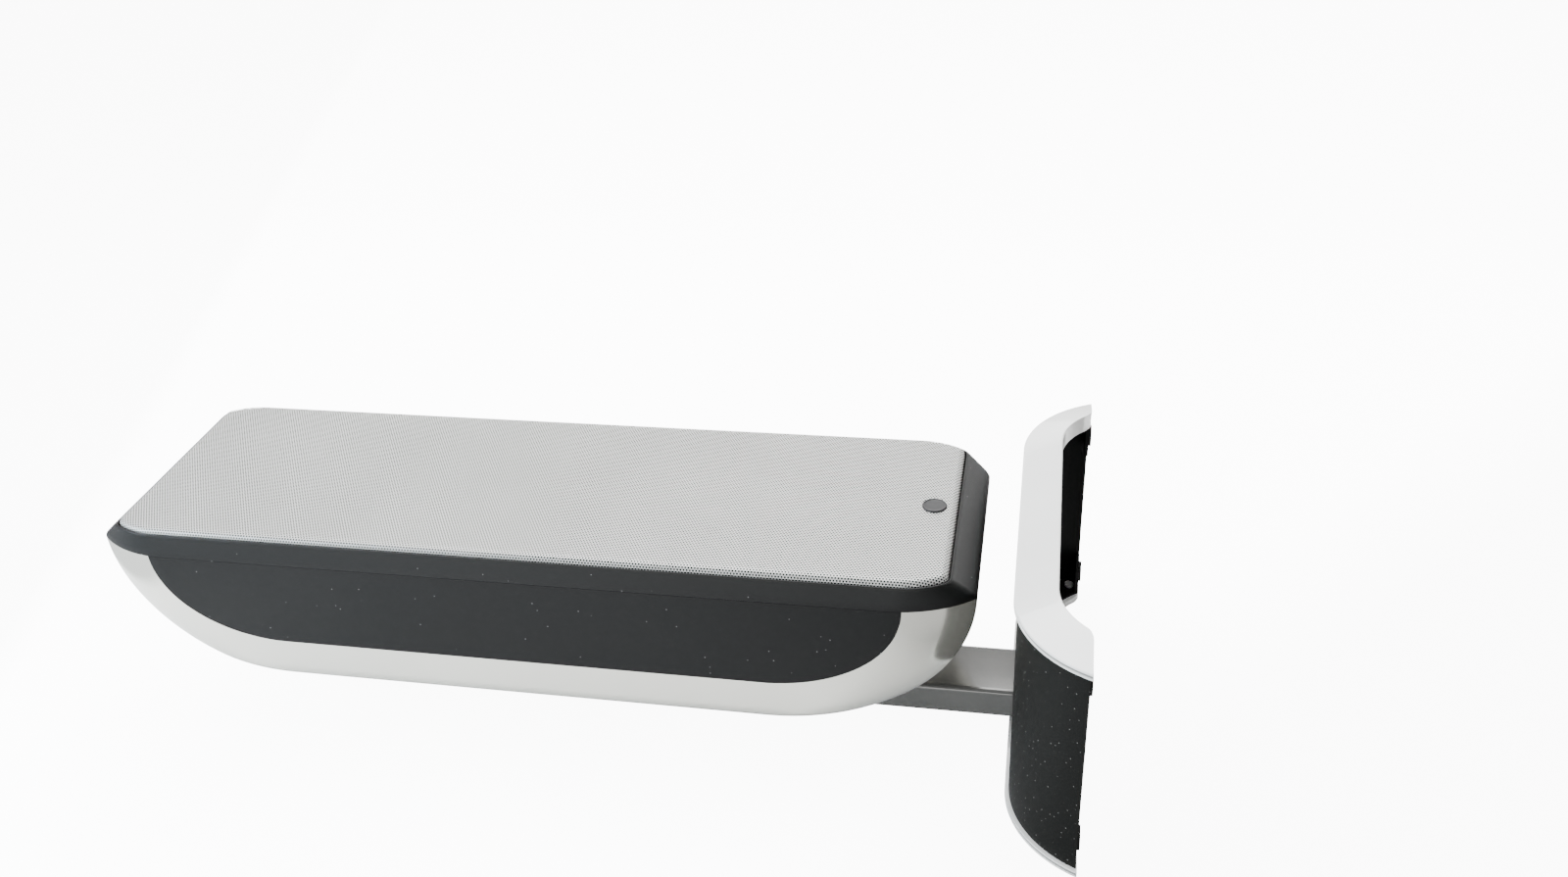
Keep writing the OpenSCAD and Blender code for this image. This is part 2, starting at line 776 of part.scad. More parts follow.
// Half-roll rubber surround between cone and flange
module surround(i) {
  mid = cone_r + roll_r;
  function roll(r) = [for (k = [0 : arc_steps]) let (t = 180 * k / arc_steps)
    [mid - r * cos(t), flange_top + r * sin(t)]];
  lip_in = cone_r - rim_w + surround_set;
  lip_out = cone_r + 2 * roll_r + surround_lip;
  lip_top = flange_top + surround_t;
  inner = roll(roll_r - surround_t);
  color(black) at_woofer(i) rotate_extrude()
    polygon(concat([[lip_in, flange_top], [lip_in, lip_top], [cone_r - glue, lip_top]],
                   [for (k = [2 : arc_steps - 2]) roll(roll_r)[k]],
                   [[lip_out - surround_lip + glue, lip_top], [lip_out, lip_top], [lip_out, flange_top]],
                   [for (k = [arc_steps : -1 : 0]) inner[k]]));
}

// Corrugated disc that centres the coil
module spider(i) {
  in_r = former_d / 2 + 2 * glue;
  steps = 6 * spider_waves;
  span = ledge_in_r - in_r;
  function wave(k, lift) = let (u = k / steps)
    [in_r + u * span, ledge_z + lift + spider_wave * sin(360 * spider_waves * u)];
  color(brass) at_woofer(i) rotate_extrude()
    polygon(concat([for (k = [0 : steps]) wave(k, 0)],
                   [[spider_out_r, ledge_z], [spider_out_r, ledge_z + spider_t]],
                   [for (k = [steps : -1 : 0]) wave(k, spider_t)]));
}

module upper_cone() { cone(0); }
module upper_dust_cap() { dust_cap(0); }
module upper_voice_coil() { voice_coil(0); }
module upper_surround() { surround(0); }
module upper_spider() { spider(0); }
module lower_cone() { cone(1); }
module lower_dust_cap() { dust_cap(1); }
module lower_voice_coil() { voice_coil(1); }
module lower_surround() { surround(1); }
module lower_spider() { spider(1); }

// Tweeter sizes, with z = 0 at the baffle's face
face_t = 3.5;
dome_t = 0.6;
dome_rim = 4;
motor_h = 30;
motor_step = 3;
motor_plate = 5;
horn_run = 18;
face_edge = 0.8;
throat_gap = 1.5;
dome_share = 0.27;
horn_r = dome_d / 2 + horn_run;

// Round faceplate with a shallow horn round the dome
module tweeter_faceplate() {
  throat = dome_d / 2 + throat_gap;
  r = tweeter_d / 2;
  color(charcoal) at_tweeter() difference() {
    rotate_extrude()
      polygon([[throat, 0], [r, 0], [r, face_t - face_edge], [r - face_edge, face_t], [horn_r, face_t],
               [throat, face_edge]]);
    for (p = tweeter_spots)
      translate([p[0], p[1], -over])
        cylinder(d = driver_screw_d + 2 * hole_clear, h = face_t + 2 * over);
  }
}

// Soft dome with its flat rim, held between faceplate and motor
module tweeter_dome() {
  base_r = dome_d / 2;
  rise = dome_d * dome_share;
  ball = (base_r * base_r + rise * rise) / (2 * rise);
  half = asin(base_r / ball);
  function cap(r) = [for (k = [0 : arc_steps]) let (t = half * k / arc_steps)
    [r * sin(t), rise - ball + r * cos(t) - dome_t / 2]];
  outer = cap(ball);
  inner = cap(ball - dome_t);
  color(black) at_tweeter() rotate_extrude()
    polygon(concat([for (k = [0 : arc_steps - 1]) outer[k]],
                   [[base_r, 0], [base_r + dome_rim, 0], [base_r + dome_rim, -dome_t]],
                   [[inner[arc_steps][0], -dome_t]], [for (k = [arc_steps - 1 : -1 : 0]) inner[k]]));
}

// Motor with front plate, magnet and back plate
module tweeter_motor() {
  r = tweeter_motor_d / 2;
  in_r = dome_d / 2 - motor_step;
  back = motor_plate - motor_h;
  front = -motor_plate - motor_step;
  color(steel) at_tweeter() rotate_extrude()
    polygon([[0, -motor_h], [r - motor_step, -motor_h], [r - motor_step, back], [r, back], [r, front],
             [r - motor_step, front], [r - motor_step, -dome_t], [in_r, -dome_t], [in_r, -motor_plate],
             [0, -motor_plate]]);
}

// Pan-head screws through the faceplate into the baffle
module tweeter_screws() {
  color(black) at_tweeter() for (p = tweeter_spots)
    translate([p[0], p[1], face_t])
      screw(driver_screw_d, tweeter_screw_l, tweeter_head_d, tweeter_head_h);
}

// Crossover on standoffs above the back
z_board_low = z_back + shell_wall + standoff_h;
z_board_top = z_board_low + board_t;
coil_r = 17;
coil_h = 14;
coil_wall = 8;
coil_spot = 32;
coil_set = 8;
film_d = 16;
film_l = 30;
film_gap = 4;
film_edge = 2;
snap_d = 3.2;
snap_head_d = 5;
snap_head_h = 2.4;
laminate = [0.10, 0.30, 0.18];
film_wrap = [0.75, 0.55, 0.20];
nylon = [0.85, 0.85, 0.82];
red = [0.65, 0.08, 0.06];

// Laminate board with a hole for each post
module crossover_board() {
  color(laminate) difference() {
    translate([board_x, 0, z_board_low]) linear_extrude(board_t)
      square([board_l, board_w], center = true);
    for (p = board_spots)
      translate([p[0], p[1], z_board_low - over])
        cylinder(d = snap_d + 2 * hole_clear, h = board_t + 2 * over);
  }
}

// Air-core coils standing on the board
module crossover_coils() {
  color(brass) for (s = [-1, 1])
    translate([board_x + s * coil_spot, -coil_set, z_board_top]) difference() {
      cylinder(r = coil_r, h = coil_h);
      translate([0, 0, -over]) cylinder(r = coil_r - coil_wall, h = coil_h + 2 * over);
    }
}

// Film capacitors lying on the board
module crossover_capacitors() {
  film_y = board_w / 2 - film_d / 2 - film_edge;
  color(film_wrap) for (i = [-1, 0, 1])
    translate([board_x + i * (film_l + film_gap) - film_l / 2, film_y, z_board_top + film_d / 2])
      rotate([0, 90, 0]) cylinder(d = film_d, h = film_l);
}

// Nylon posts with snap heads through the board
module crossover_standoffs() {
  top = standoff_h + board_t + hole_clear;
  color(nylon) for (p = board_spots)
    translate([p[0], p[1], z_back + shell_wall]) {
      cylinder(d = standoff_d, h = standoff_h);
      cylinder(d = snap_d, h = top + snap_head_h / 2);
      translate([0, 0, top]) cylinder(d1 = snap_head_d, d2 = snap_head_d / 2, h = snap_head_h);
    }
}

// Terminal sizes, with z = 0 at the floor of the recess and the way out along -Z
base_h = 3;
base_d = 13;
collar_d = 12;
collar_h = 2;
step_gap = 0.2;
z_collar = -base_h - step_gap - collar_h;
z_knob = z_collar - step_gap - knob_l;
nut_h = 4;
nut_d = 11;
stud_in = 12;
plug_depth = 11;
flutes = 16;
flute_r = 0.9;
flute_out = 0.3;
flute_short = 1;
cup_screw_l = cup_flange_t + shell_wall + 4;
cup_head_d = 6;
cup_head_h = 1.8;
post_y = [-post_pitch / 2, post_pitch / 2];

module at_post(i) {
  translate([cup_centre + post_y[i], 0, z_cup]) children();
}

// Moulded cup let into the back of the shell
module terminal_cup() {
  color(black) difference() {
    translate([cup_centre, 0, 0]) difference() {
      union() {
        translate([0, 0, z_back - cup_flange_t]) linear_extrude(cup_flange_t)
          round_rect(cup_l / 2, cup_w / 2, cup_r);
        translate([0, 0, z_back - over]) linear_extrude(cup_depth + cup_wall + over)
          round_rect(cup_body_l, cup_body_w, cup_r);
      }
      translate([0, 0, z_back - cup_flange_t - over]) linear_extrude(cup_depth + cup_flange_t + over)
        round_rect(cup_body_l - cup_wall, cup_body_w - cup_wall, cup_r - cup_wall);
    }
    for (p = cup_spots)
      translate([p[0], p[1], z_back - cup_flange_t - over])
        cylinder(d = cup_screw_d + 2 * hole_clear, h = cup_flange_t + 2 * over);
    for (i = [0, 1])
      at_post(i) translate([0, 0, -over])
        cylinder(d = stud_d + 2 * hole_clear, h = cup_wall + 2 * over);
  }
}

// Pan-head screws from the cup's rim into the shell
module terminal_screws() {
  color(black) for (p = cup_spots)
    translate([p[0], p[1], z_back - cup_flange_t]) rotate([180, 0, 0])
      screw(cup_screw_d, cup_screw_l, cup_head_d, cup_head_h);
}

// Brass studs with a fixed base and a plug bore in the free end
module terminal_studs() {
  color(brass) for (i = [0, 1]) at_post(i) difference() {
    union() {
      translate([0, 0, z_knob]) cylinder(d = stud_d, h = stud_in - z_knob);
      translate([0, 0, -base_h]) cylinder(d = base_d, h = base_h);
    }
    translate([0, 0, z_knob - over]) cylinder(d = plug_bore_d, h = plug_depth + over);
  }
}

// Hexagon nuts that lock the studs inside
module terminal_lock_nuts() {
  color(steel) for (i = [0, 1]) at_post(i) translate([0, 0, cup_wall]) difference() {
    cylinder(d = nut_d, h = nut_h, $fn = 6);
    translate([0, 0, -over]) cylinder(d = stud_d + 2 * hole_clear, h = nut_h + 2 * over);
  }
}

// Loose ring that presses the wire against the base
module clamp_collar(i) {
  color(brass) at_post(i) translate([0, 0, z_collar]) difference() {
    cylinder(d = collar_d, h = collar_h);
    translate([0, 0, -over]) cylinder(d = stud_d + 2 * stud_clear, h = collar_h + 2 * over);
  }
}

// Fluted thumb nut
module thumb_nut(i, tint) {
  edge = 0.8;
  r = knob_d / 2;
  in_r = stud_d / 2 + stud_clear;
  color(tint) at_post(i) translate([0, 0, z_knob]) difference() {
    rotate_extrude()
      polygon([[in_r, 0], [r - edge, 0], [r, edge], [r, knob_l - edge], [r - edge, knob_l],
               [in_r, knob_l]]);
    for (k = [0 : flutes - 1])
      rotate([0, 0, 360 * k / flutes]) translate([r + flute_out, 0, -over])
        cylinder(r = flute_r, h = knob_l - flute_short, $fn = 16);
  }
}

module positive_collar() { clamp_collar(0); }
module negative_collar() { clamp_collar(1); }
module positive_knob() { thumb_nut(0, red); }
module negative_knob() { thumb_nut(1, black); }

// Stand: screws between bracket and arm
arm_screw_end = 26;
arm_spots = [for (k = [-1, 0, 1]) bracket_x + k * (bracket_l / 2 - arm_screw_end)];
stand_head_d = 9;
stand_head_h = 3;
arm_screw_l = bracket_t + 9;
arm_in_r = 2;
bolt_head_d = 10;
bolt_head_h = 5;
bolt_spare = 6;
grey_silver = [0.56, 0.56, 0.54];
insert_d = 9;
insert_h = 7;
end_t = 2.5;
end_spigot = 8;
plug_l = 30;
bolt_y = 15;
arm_mid = arm_lift + arm_t / 2;

// Folded hat section between the arm and the cabinet's back
module stand_bracket() {
  half = arm_w / 2 + bracket_t;
  wide = half + bracket_flange;
  color(charcoal) difference() {
    translate([bracket_x - bracket_l / 2, 0, 0]) rotate([90, 0, 90]) linear_extrude(bracket_l)
      polygon([[-half, arm_top], [half, arm_top], [half, z_back - bracket_t], [wide, z_back - bracket_t],
               [wide, z_back], [half - bracket_t, z_back], [half - bracket_t, arm_top + bracket_t],
               [bracket_t - half, arm_top + bracket_t], [bracket_t - half, z_back], [-wide, z_back],
               [-wide, z_back - bracket_t], [-half, z_back - bracket_t]]);
    for (p = bracket_spots)
      translate([p[0], p[1], z_back - bracket_t - over])
        cylinder(d = stand_screw_d + 2 * hole_clear, h = bracket_t + 2 * over);
    for (x = arm_spots)
      translate([x, 0, arm_top - over])
        cylinder(d = stand_screw_d + 2 * hole_clear, h = bracket_t + 2 * over);
  }
}

// Screws from the bracket's flanges into the shell's back
module bracket_screws() {
  color(steel) for (p = bracket_spots)
    translate([p[0], p[1], z_back - bracket_t]) rotate([180, 0, 0])
      screw(stand_screw_d, bracket_screw_l, stand_head_d, stand_head_h);
}

// Glossy rectangular tube from the bracket to the foot
module arm_tube() {
  color(grey_silver) difference() {
    translate([x_arm + end_t, 0, arm_mid]) rotate([90, 0, 90])
      linear_extrude(x_arch - x_arm - end_t) difference() {
        round_rect(arm_w / 2, arm_t / 2, arm_r);
        round_rect(arm_w / 2 - arm_wall, arm_t / 2 - arm_wall, arm_in_r);
      }
    for (x = arm_spots)
      translate([x, 0, arm_top - arm_wall - over])
        cylinder(d = stand_screw_d + 2 * hole_clear, h = arm_wall + 2 * over);
  }
}

// Moulded cap on the arm's free end
module arm_cap() {
  inner = arm_wall + fit_gap;
  color(black) translate([x_arm, 0, arm_mid]) rotate([90, 0, 90]) {
    linear_extrude(end_t) round_rect(arm_w / 2, arm_t / 2, arm_r);
    linear_extrude(end_t + end_spigot) round_rect(arm_w / 2 - inner, arm_t / 2 - inner, arm_in_r);
  }
}

// Tapped block in the arm's foot end
module arm_plug() {
  inner = arm_wall + fit_gap;
  color(steel) translate([x_arch - plug_l, 0, arm_mid]) rotate([90, 0, 90])
    linear_extrude(plug_l) difference() {
      round_rect(arm_w / 2 - inner, arm_t / 2 - inner, arm_in_r);
      for (s = [-1, 1]) translate([s * bolt_y, 0]) circle(d = foot_bolt_d + 2 * hole_clear);
    }
}

// Threaded inserts behind the arm's front wall
module arm_inserts() {
  color(steel) for (x = arm_spots)
    translate([x, 0, arm_top - arm_wall - insert_h]) difference() {
      cylinder(d = insert_d, h = insert_h);
      translate([0, 0, -over]) cylinder(d = stand_screw_d + 2 * hole_clear, h = insert_h + 2 * over);
    }
}

// Screws from the bracket into the arm's inserts
module arm_screws() {
  color(steel) for (x = arm_spots)
    translate([x, 0, arm_top + bracket_t]) screw(stand_screw_d, arm_screw_l, stand_head_d, stand_head_h);
}

// Foot: screws on the middle line of the flanges and pads near the floor edge
trim_r = arch_r + trim_over;
trim_in = trim_r - trim_w;
mid_set = 2;
mid_r = arch_r - flange_w / 2 - mid_set;
leg_turn = 52;
spine_share = 0.55;
leg_spot = [x_arc - mid_r * cos(leg_turn), spine_half + mid_r * sin(leg_turn)];
spine_spot = [x_arc - mid_r, spine_half * spine_share];
trim_spots = [for (p = [leg_spot, spine_spot], s = [-1, 1]) [p[0], s * p[1]]];
rear_bite = 4;
bite_spare = 0.5;
trim_head_d = 8;
trim_head_h = 3;
pad_y = spine_half + sqrt(mid_r * mid_r - (x_arc - x_floor) * (x_arc - x_floor));
lug_edge = 4;
lug_l = pad_d + 2 * lug_edge;
lug_set = 1;
leg_round = 6;
band_w = 2 * (spine_w + 2 * arch_r);
pad_z = [rear_t + flange_t + lug_l / 2, z_front - flange_t - lug_l / 2];

// Plan of a C-shaped band with round shoulders, cut at the floor edge
module foot_band(r_in, r_out) {
  intersection() {
    union() {
      translate([x_arc - r_out, -spine_half]) square([r_out - r_in, spine_w]);
      for (s = [-1, 1])
        intersection() {
          translate([x_arc, s * spine_half]) difference() {
            circle(r_out);
            circle(r_in);
          }
          translate([x_arc - r_out - over, s > 0 ? spine_half : -spine_half - r_out - over])
            square([r_out + over, r_out + over]);
        }
    }
    translate([x_arch - 2 * trim_over, -band_w / 2]) square([foot_h + 2 * trim_over, band_w]);
  }
}

// Same band with a profile of its own, in radius and height
module foot_sweep() {
  intersection() {
    union() {
      translate([x_arc, spine_half, 0]) rotate([90, 0, 0])
        linear_extrude(spine_w) mirror([1, 0]) children();
      translate([x_arc, spine_half, 0]) rotate([0, 0, 90]) rotate_extrude(angle = 90) children();
      translate([x_arc, -spine_half, 0]) rotate([0, 0, 180]) rotate_extrude(angle = 90) children();
    }
    translate([x_arch - 2 * trim_over, -band_w / 2, -over])
      cube([foot_h + 2 * trim_over, band_w, z_front + 2 * crown_t]);
  }
}

// Sliver that rounds the inner corner at the end of a trim's leg
module leg_corner(s) {
  dx = x_arc - x_floor + leg_round;
  dy = sqrt((trim_in + leg_round) * (trim_in + leg_round) - dx * dx);
  reach = 2 * leg_round / (trim_in + leg_round);
  c = [x_floor - leg_round, s * (spine_half + dy)];
  inner = c + reach * [dx, -s * dy];
  difference() {
    polygon([c, [x_floor + over, c[1]], [x_floor + over, inner[1]], inner]);
    translate(c) circle(leg_round);
  }
}

// Black arch, open to the floor, with flanges for the trims and lugs for the pads
module foot_arch() {
  color(charcoal) difference() {
    union() {
      translate([0, 0, rear_t]) linear_extrude(arch_depth) foot_band(arch_r - arch_wall, arch_r);
      for (z = [rear_t, z_front - flange_t])
        translate([0, 0, z]) linear_extrude(flange_t) foot_band(arch_r - flange_w, arch_r);
      for (z = pad_z)
        intersection() {
          translate([0, 0, z - lug_l / 2]) linear_extrude(lug_l) foot_band(arch_r - flange_w, arch_r);
          translate([x_floor - lug_set - flange_t, -band_w / 2, 0]) cube([flange_t, band_w, 2 * z_front]);
        }
    }
    translate([x_floor - lug_set, -band_w / 2, rear_t + flange_t])
      cube([over + lug_set, band_w, arch_depth - 2 * flange_t]);
    for (p = trim_spots, z = [rear_t, z_front - flange_t])
      translate([p[0], p[1], z - over])
        cylinder(d = trim_screw_d + 2 * hole_clear, h = flange_t + 2 * over);
    for (s = [-1, 1])
      translate([x_arch - over, s * bolt_y, arm_mid]) rotate([0, 90, 0])
        cylinder(d = foot_bolt_d + 2 * hole_clear, h = arch_wall + 2 * over);
  }
}

// Silver front trim with a sloping face and a shadow line round its rim
module foot_front_trim() {
  g = rim_groove;
  h = rim_t / 2;
  edge = 1.5;
  color(silver) difference() {
    translate([0, 0, z_front]) foot_sweep()
      polygon([[trim_in, 0], [trim_r, 0], [trim_r, h - g], [trim_r - g, h - g / 2], [trim_r - g, h + g / 2],
               [trim_r, h + g], [trim_r, rim_t], [trim_in + edge, crown_t], [trim_in, crown_t - edge]]);
    for (p = trim_spots)
      translate([p[0], p[1], z_front - over])
        cylinder(d = trim_screw_d + 2 * hole_clear, h = rim_t + over);
    for (s = [-1, 1])
      translate([0, 0, z_front - over]) linear_extrude(crown_t + 2 * over) leg_corner(s);
  }
}

// Silver rear trim of the same outline
module foot_rear_trim() {
  g = rim_groove;
  h = rear_t / 2;
  edge = 1;
  color(silver) difference() {
    foot_sweep()
      polygon([[trim_in, 0], [trim_r - edge, 0], [trim_r, edge], [trim_r, h - g / 2], [trim_r - g, h],
               [trim_r - g, h + g], [trim_r, h + 1.5 * g], [trim_r, rear_t], [trim_in, rear_t]]);
    for (p = trim_spots)
      translate([p[0], p[1], rear_t - rear_bite])
        cylinder(d = trim_screw_d + 2 * hole_clear, h = rear_bite + over);
    for (s = [-1, 1])
      translate([0, 0, -over]) linear_extrude(rear_t + 2 * over) leg_corner(s);
  }
}

// Screws from inside the arch into both trims
module trim_screws() {
  color(steel) for (p = trim_spots) {
    translate([p[0], p[1], z_front - flange_t]) rotate([180, 0, 0])
      screw(trim_screw_d, flange_t + rim_t - bite_spare, trim_head_d, trim_head_h);
    translate([p[0], p[1], rear_t + flange_t])
      screw(trim_screw_d, flange_t + rear_bite - bite_spare, trim_head_d, trim_head_h);
  }
}

// Bolts from inside the arch into the arm's plug
module foot_bolts() {
  color(steel) for (s = [-1, 1])
    translate([x_arch + arch_wall, s * bolt_y, arm_mid]) rotate([0, 90, 0])
      screw(foot_bolt_d, arch_wall + plug_l - bolt_spare, bolt_head_d, bolt_head_h);
}

// Rubber pads under the legs
module foot_pads() {
  color(black) for (s = [-1, 1], z = pad_z)
    translate([x_floor - lug_set, s * pad_y, z]) rotate([0, 90, 0])
      cylinder(d = pad_d, h = lug_set + pad_proud);
}

rear_shell();
side_panel_left();
side_panel_right();
front_baffle();
baffle_screws();
grille();
grille_badge();
grille_pegs();
grille_sockets();
woofer_gaskets();
woofer_baskets();
woofer_front_plates();
woofer_magnets();
woofer_yokes();
woofer_screws();
upper_cone();
upper_dust_cap();
upper_voice_coil();
upper_surround();
upper_spider();
lower_cone();
lower_dust_cap();
lower_voice_coil();
lower_surround();
lower_spider();
tweeter_faceplate();
tweeter_dome();
tweeter_motor();
tweeter_screws();
crossover_board();
crossover_coils();
crossover_capacitors();
crossover_standoffs();
terminal_cup();
terminal_screws();
terminal_studs();
terminal_lock_nuts();
positive_collar();
negative_collar();
positive_knob();
negative_knob();
stand_bracket();
bracket_screws();
arm_tube();
arm_cap();
arm_plug();
arm_inserts();
arm_screws();
foot_arch();
foot_front_trim();
foot_rear_trim();
trim_screws();
foot_bolts();
foot_pads();
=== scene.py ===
import math

import bpy
import numpy as np
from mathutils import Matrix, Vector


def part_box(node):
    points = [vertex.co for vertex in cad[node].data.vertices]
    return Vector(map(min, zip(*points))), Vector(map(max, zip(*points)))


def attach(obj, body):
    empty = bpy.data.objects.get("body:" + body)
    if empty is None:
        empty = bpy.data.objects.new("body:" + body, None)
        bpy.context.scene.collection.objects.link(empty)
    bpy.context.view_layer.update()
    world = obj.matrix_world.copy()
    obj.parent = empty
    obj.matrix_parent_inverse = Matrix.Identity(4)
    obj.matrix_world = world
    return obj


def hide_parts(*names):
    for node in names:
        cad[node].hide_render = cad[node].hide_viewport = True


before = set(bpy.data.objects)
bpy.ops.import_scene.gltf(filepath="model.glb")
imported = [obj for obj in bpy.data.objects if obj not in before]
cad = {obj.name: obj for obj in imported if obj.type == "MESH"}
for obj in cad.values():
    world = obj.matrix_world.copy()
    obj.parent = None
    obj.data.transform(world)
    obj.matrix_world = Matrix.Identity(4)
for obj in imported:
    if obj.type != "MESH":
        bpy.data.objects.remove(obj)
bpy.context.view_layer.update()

# Rear shell
# The tub of the cabinet, moulded in one piece and sprayed with pale champagne lacquer.
# Its long sides are recessed for the black panels, and its rim carries the baffle.
shell_lo, shell_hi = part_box("rear_shell")
cab_x = (shell_lo.x + shell_hi.x) / 2
half_len = (shell_hi.x - shell_lo.x) / 2
half_wide = shell_hi.y
seam_z, back_z = shell_hi.z, shell_lo.z
shell_wall, end_run, back_round = 0.005, 0.123, 0.014
side_curve, side_turn, corner_r = 0.098, math.radians(39.5), 0.006
fit_gap = 0.0003


# A plan form is half length, half width, wide side curve, its turn, and corner radius
def plan_centres(form):
    half_l, half_w, curve, turn, corner = form
    core = curve - corner
    return ((half_l - corner, half_w - curve + core * math.cos(turn)),
            (half_l - corner - core * math.sin(turn), half_w - curve))


def plan_ring(form, grow, z, corner_steps=8, curve_steps=16):
    corner_at, curve_at = plan_centres(form)
    curve, turn, corner = form[2:]
    rest = math.pi / 2 - turn
    arcs = [(corner_at, corner + grow, rest * i / corner_steps) for i in range(corner_steps + 1)]
    arcs += [(curve_at, curve + grow, rest + turn * i / curve_steps) for i in range(1, curve_steps + 1)]
    quarter = [(c[0] + r * math.cos(t), c[1] + r * math.sin(t)) for c, r, t in arcs]
    back = quarter[::-1]
    outline = quarter + [(-x, y) for x, y in back]
    outline += [(-x, -y) for x, y in quarter] + [(x, -y) for x, y in back]
    return [(cab_x + x, y, z) for x, y in outline]


# The tub's plan at a depth under the rim: the ends draw in on a quarter ellipse, the sides round off
def shell_form(drop, inset):
    turn = math.asin(min(1.0, drop / (seam_z - back_z - inset)))
    half_l = half_len - end_run + (end_run - inset) * math.cos(turn)
    r = back_round - inset
    rise = min(r, seam_z - drop - back_z - inset)
    half_w = half_wide - back_round + math.sqrt(max(0.0, r * r - (r - rise) ** 2))
    return half_l + inset, half_w + inset, side_curve, side_turn, corner_r


def shell_ring(turn, inset):
    drop = (seam_z - back_z - inset) * math.sin(turn)
    return plan_ring(shell_form(drop, inset), -inset, seam_z - drop)


# Joins rings of equal count into one surface
def skin(rings, caps=True):
    m = len(rings[0])
    verts = [p for ring in rings for p in ring]
    faces = []
    for k in range(len(rings) - 1):
        for i in range(m):
            j = (i + 1) % m
            faces.append((k * m + i, k * m + j, (k + 1) * m + j, (k + 1) * m + i))
    if caps:
        faces.append(tuple(range(m - 1, -1, -1)))
        faces.append(tuple(range((len(rings) - 1) * m, len(rings) * m)))
    return verts, faces


def piece(name, verts, faces, material, body="cabinet", stands_for=(), slot=None):
    mesh = bpy.data.meshes.new(name)
    mesh.from_pydata(verts, [], faces)
    mesh.update()
    obj = bpy.data.objects.new(name, mesh)
    bpy.context.collection.objects.link(obj)
    mesh.polygons.foreach_set("use_smooth", [True] * len(mesh.polygons))
    mesh.materials.append(material)
    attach(obj, body)
    if stands_for:
        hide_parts(*stands_for)
    return obj


def flatten(obj):
    flats = obj.modifiers.new("true_flats", "WEIGHTED_NORMAL")
    flats.weight = 80


def soften(obj, width, segments=3, angle=32):
    bevel = obj.modifiers.new("soft_edges", "BEVEL")
    bevel.width = width
    bevel.segments = segments
    bevel.limit_method = "ANGLE"
    bevel.angle_limit = math.radians(angle)
    flatten(obj)


def cutter(verts, faces):
    mesh = bpy.data.meshes.new("cutter")
    mesh.from_pydata(verts, [], faces)
    obj = bpy.data.objects.new("cutter", mesh)
    bpy.context.collection.objects.link(obj)
    return obj


def cut(obj, *tools):
    for tool in tools:
        step = obj.modifiers.new("cut", "BOOLEAN")
        step.operation = "DIFFERENCE"
        step.solver = "EXACT"
        step.object = tool
    shaped = obj.evaluated_get(bpy.context.evaluated_depsgraph_get())
    mesh = bpy.data.meshes.new_from_object(shaped)
    obj.modifiers.clear()
    obj.data = mesh
    mesh.polygons.foreach_set("use_smooth", [True] * len(mesh.polygons))
    for tool in tools:
        bpy.data.objects.remove(tool)


def start_group(name, inputs, outputs):
    group = bpy.data.node_groups.new(name, "ShaderNodeTree")
    for label, value in inputs:
        socket = group.interface.new_socket(label, in_out="INPUT", socket_type="NodeSocketFloat")
        socket.default_value = value
    for label in outputs:
        group.interface.new_socket(label, in_out="OUTPUT", socket_type="NodeSocketFloat")
    return group, group.nodes.new("NodeGroupInput"), group.nodes.new("NodeGroupOutput")


# A fine relief, and a slow drift of tone and gloss over a hand's breadth
grain, grain_in, grain_out = start_group(
    "Skin grain", [("Cells per metre", 2500.0), ("Drift", 0.1)], ["Height", "Tone", "Patch"])
where = grain.nodes.new("ShaderNodeTexCoord")
pebble = grain.nodes.new("ShaderNodeTexNoise")
pebble.inputs["Detail"].default_value = 2.0
slow = grain.nodes.new("ShaderNodeTexNoise")
slow.inputs["Scale"].default_value = 14.0
slow.inputs["Detail"].default_value = 3.0
span = grain.nodes.new("ShaderNodeMath")
span.operation = "SUBTRACT"
span.inputs[0].default_value = 1.0
tone = grain.nodes.new("ShaderNodeMapRange")
tone.inputs["From Min"].default_value = 0.3
tone.inputs["From Max"].default_value = 0.7
grain.links.new(where.outputs["Object"], pebble.inputs["Vector"])
grain.links.new(where.outputs["Object"], slow.inputs["Vector"])
grain.links.new(grain_in.outputs["Cells per metre"], pebble.inputs["Scale"])
grain.links.new(grain_in.outputs["Drift"], span.inputs[1])
grain.links.new(slow.outputs["Fac"], tone.inputs["Value"])
grain.links.new(span.outputs[0], tone.inputs["To Min"])
grain.links.new(pebble.outputs["Fac"], grain_out.inputs["Height"])
grain.links.new(tone.outputs["Result"], grain_out.inputs["Tone"])
grain.links.new(slow.outputs["Fac"], grain_out.inputs["Patch"])


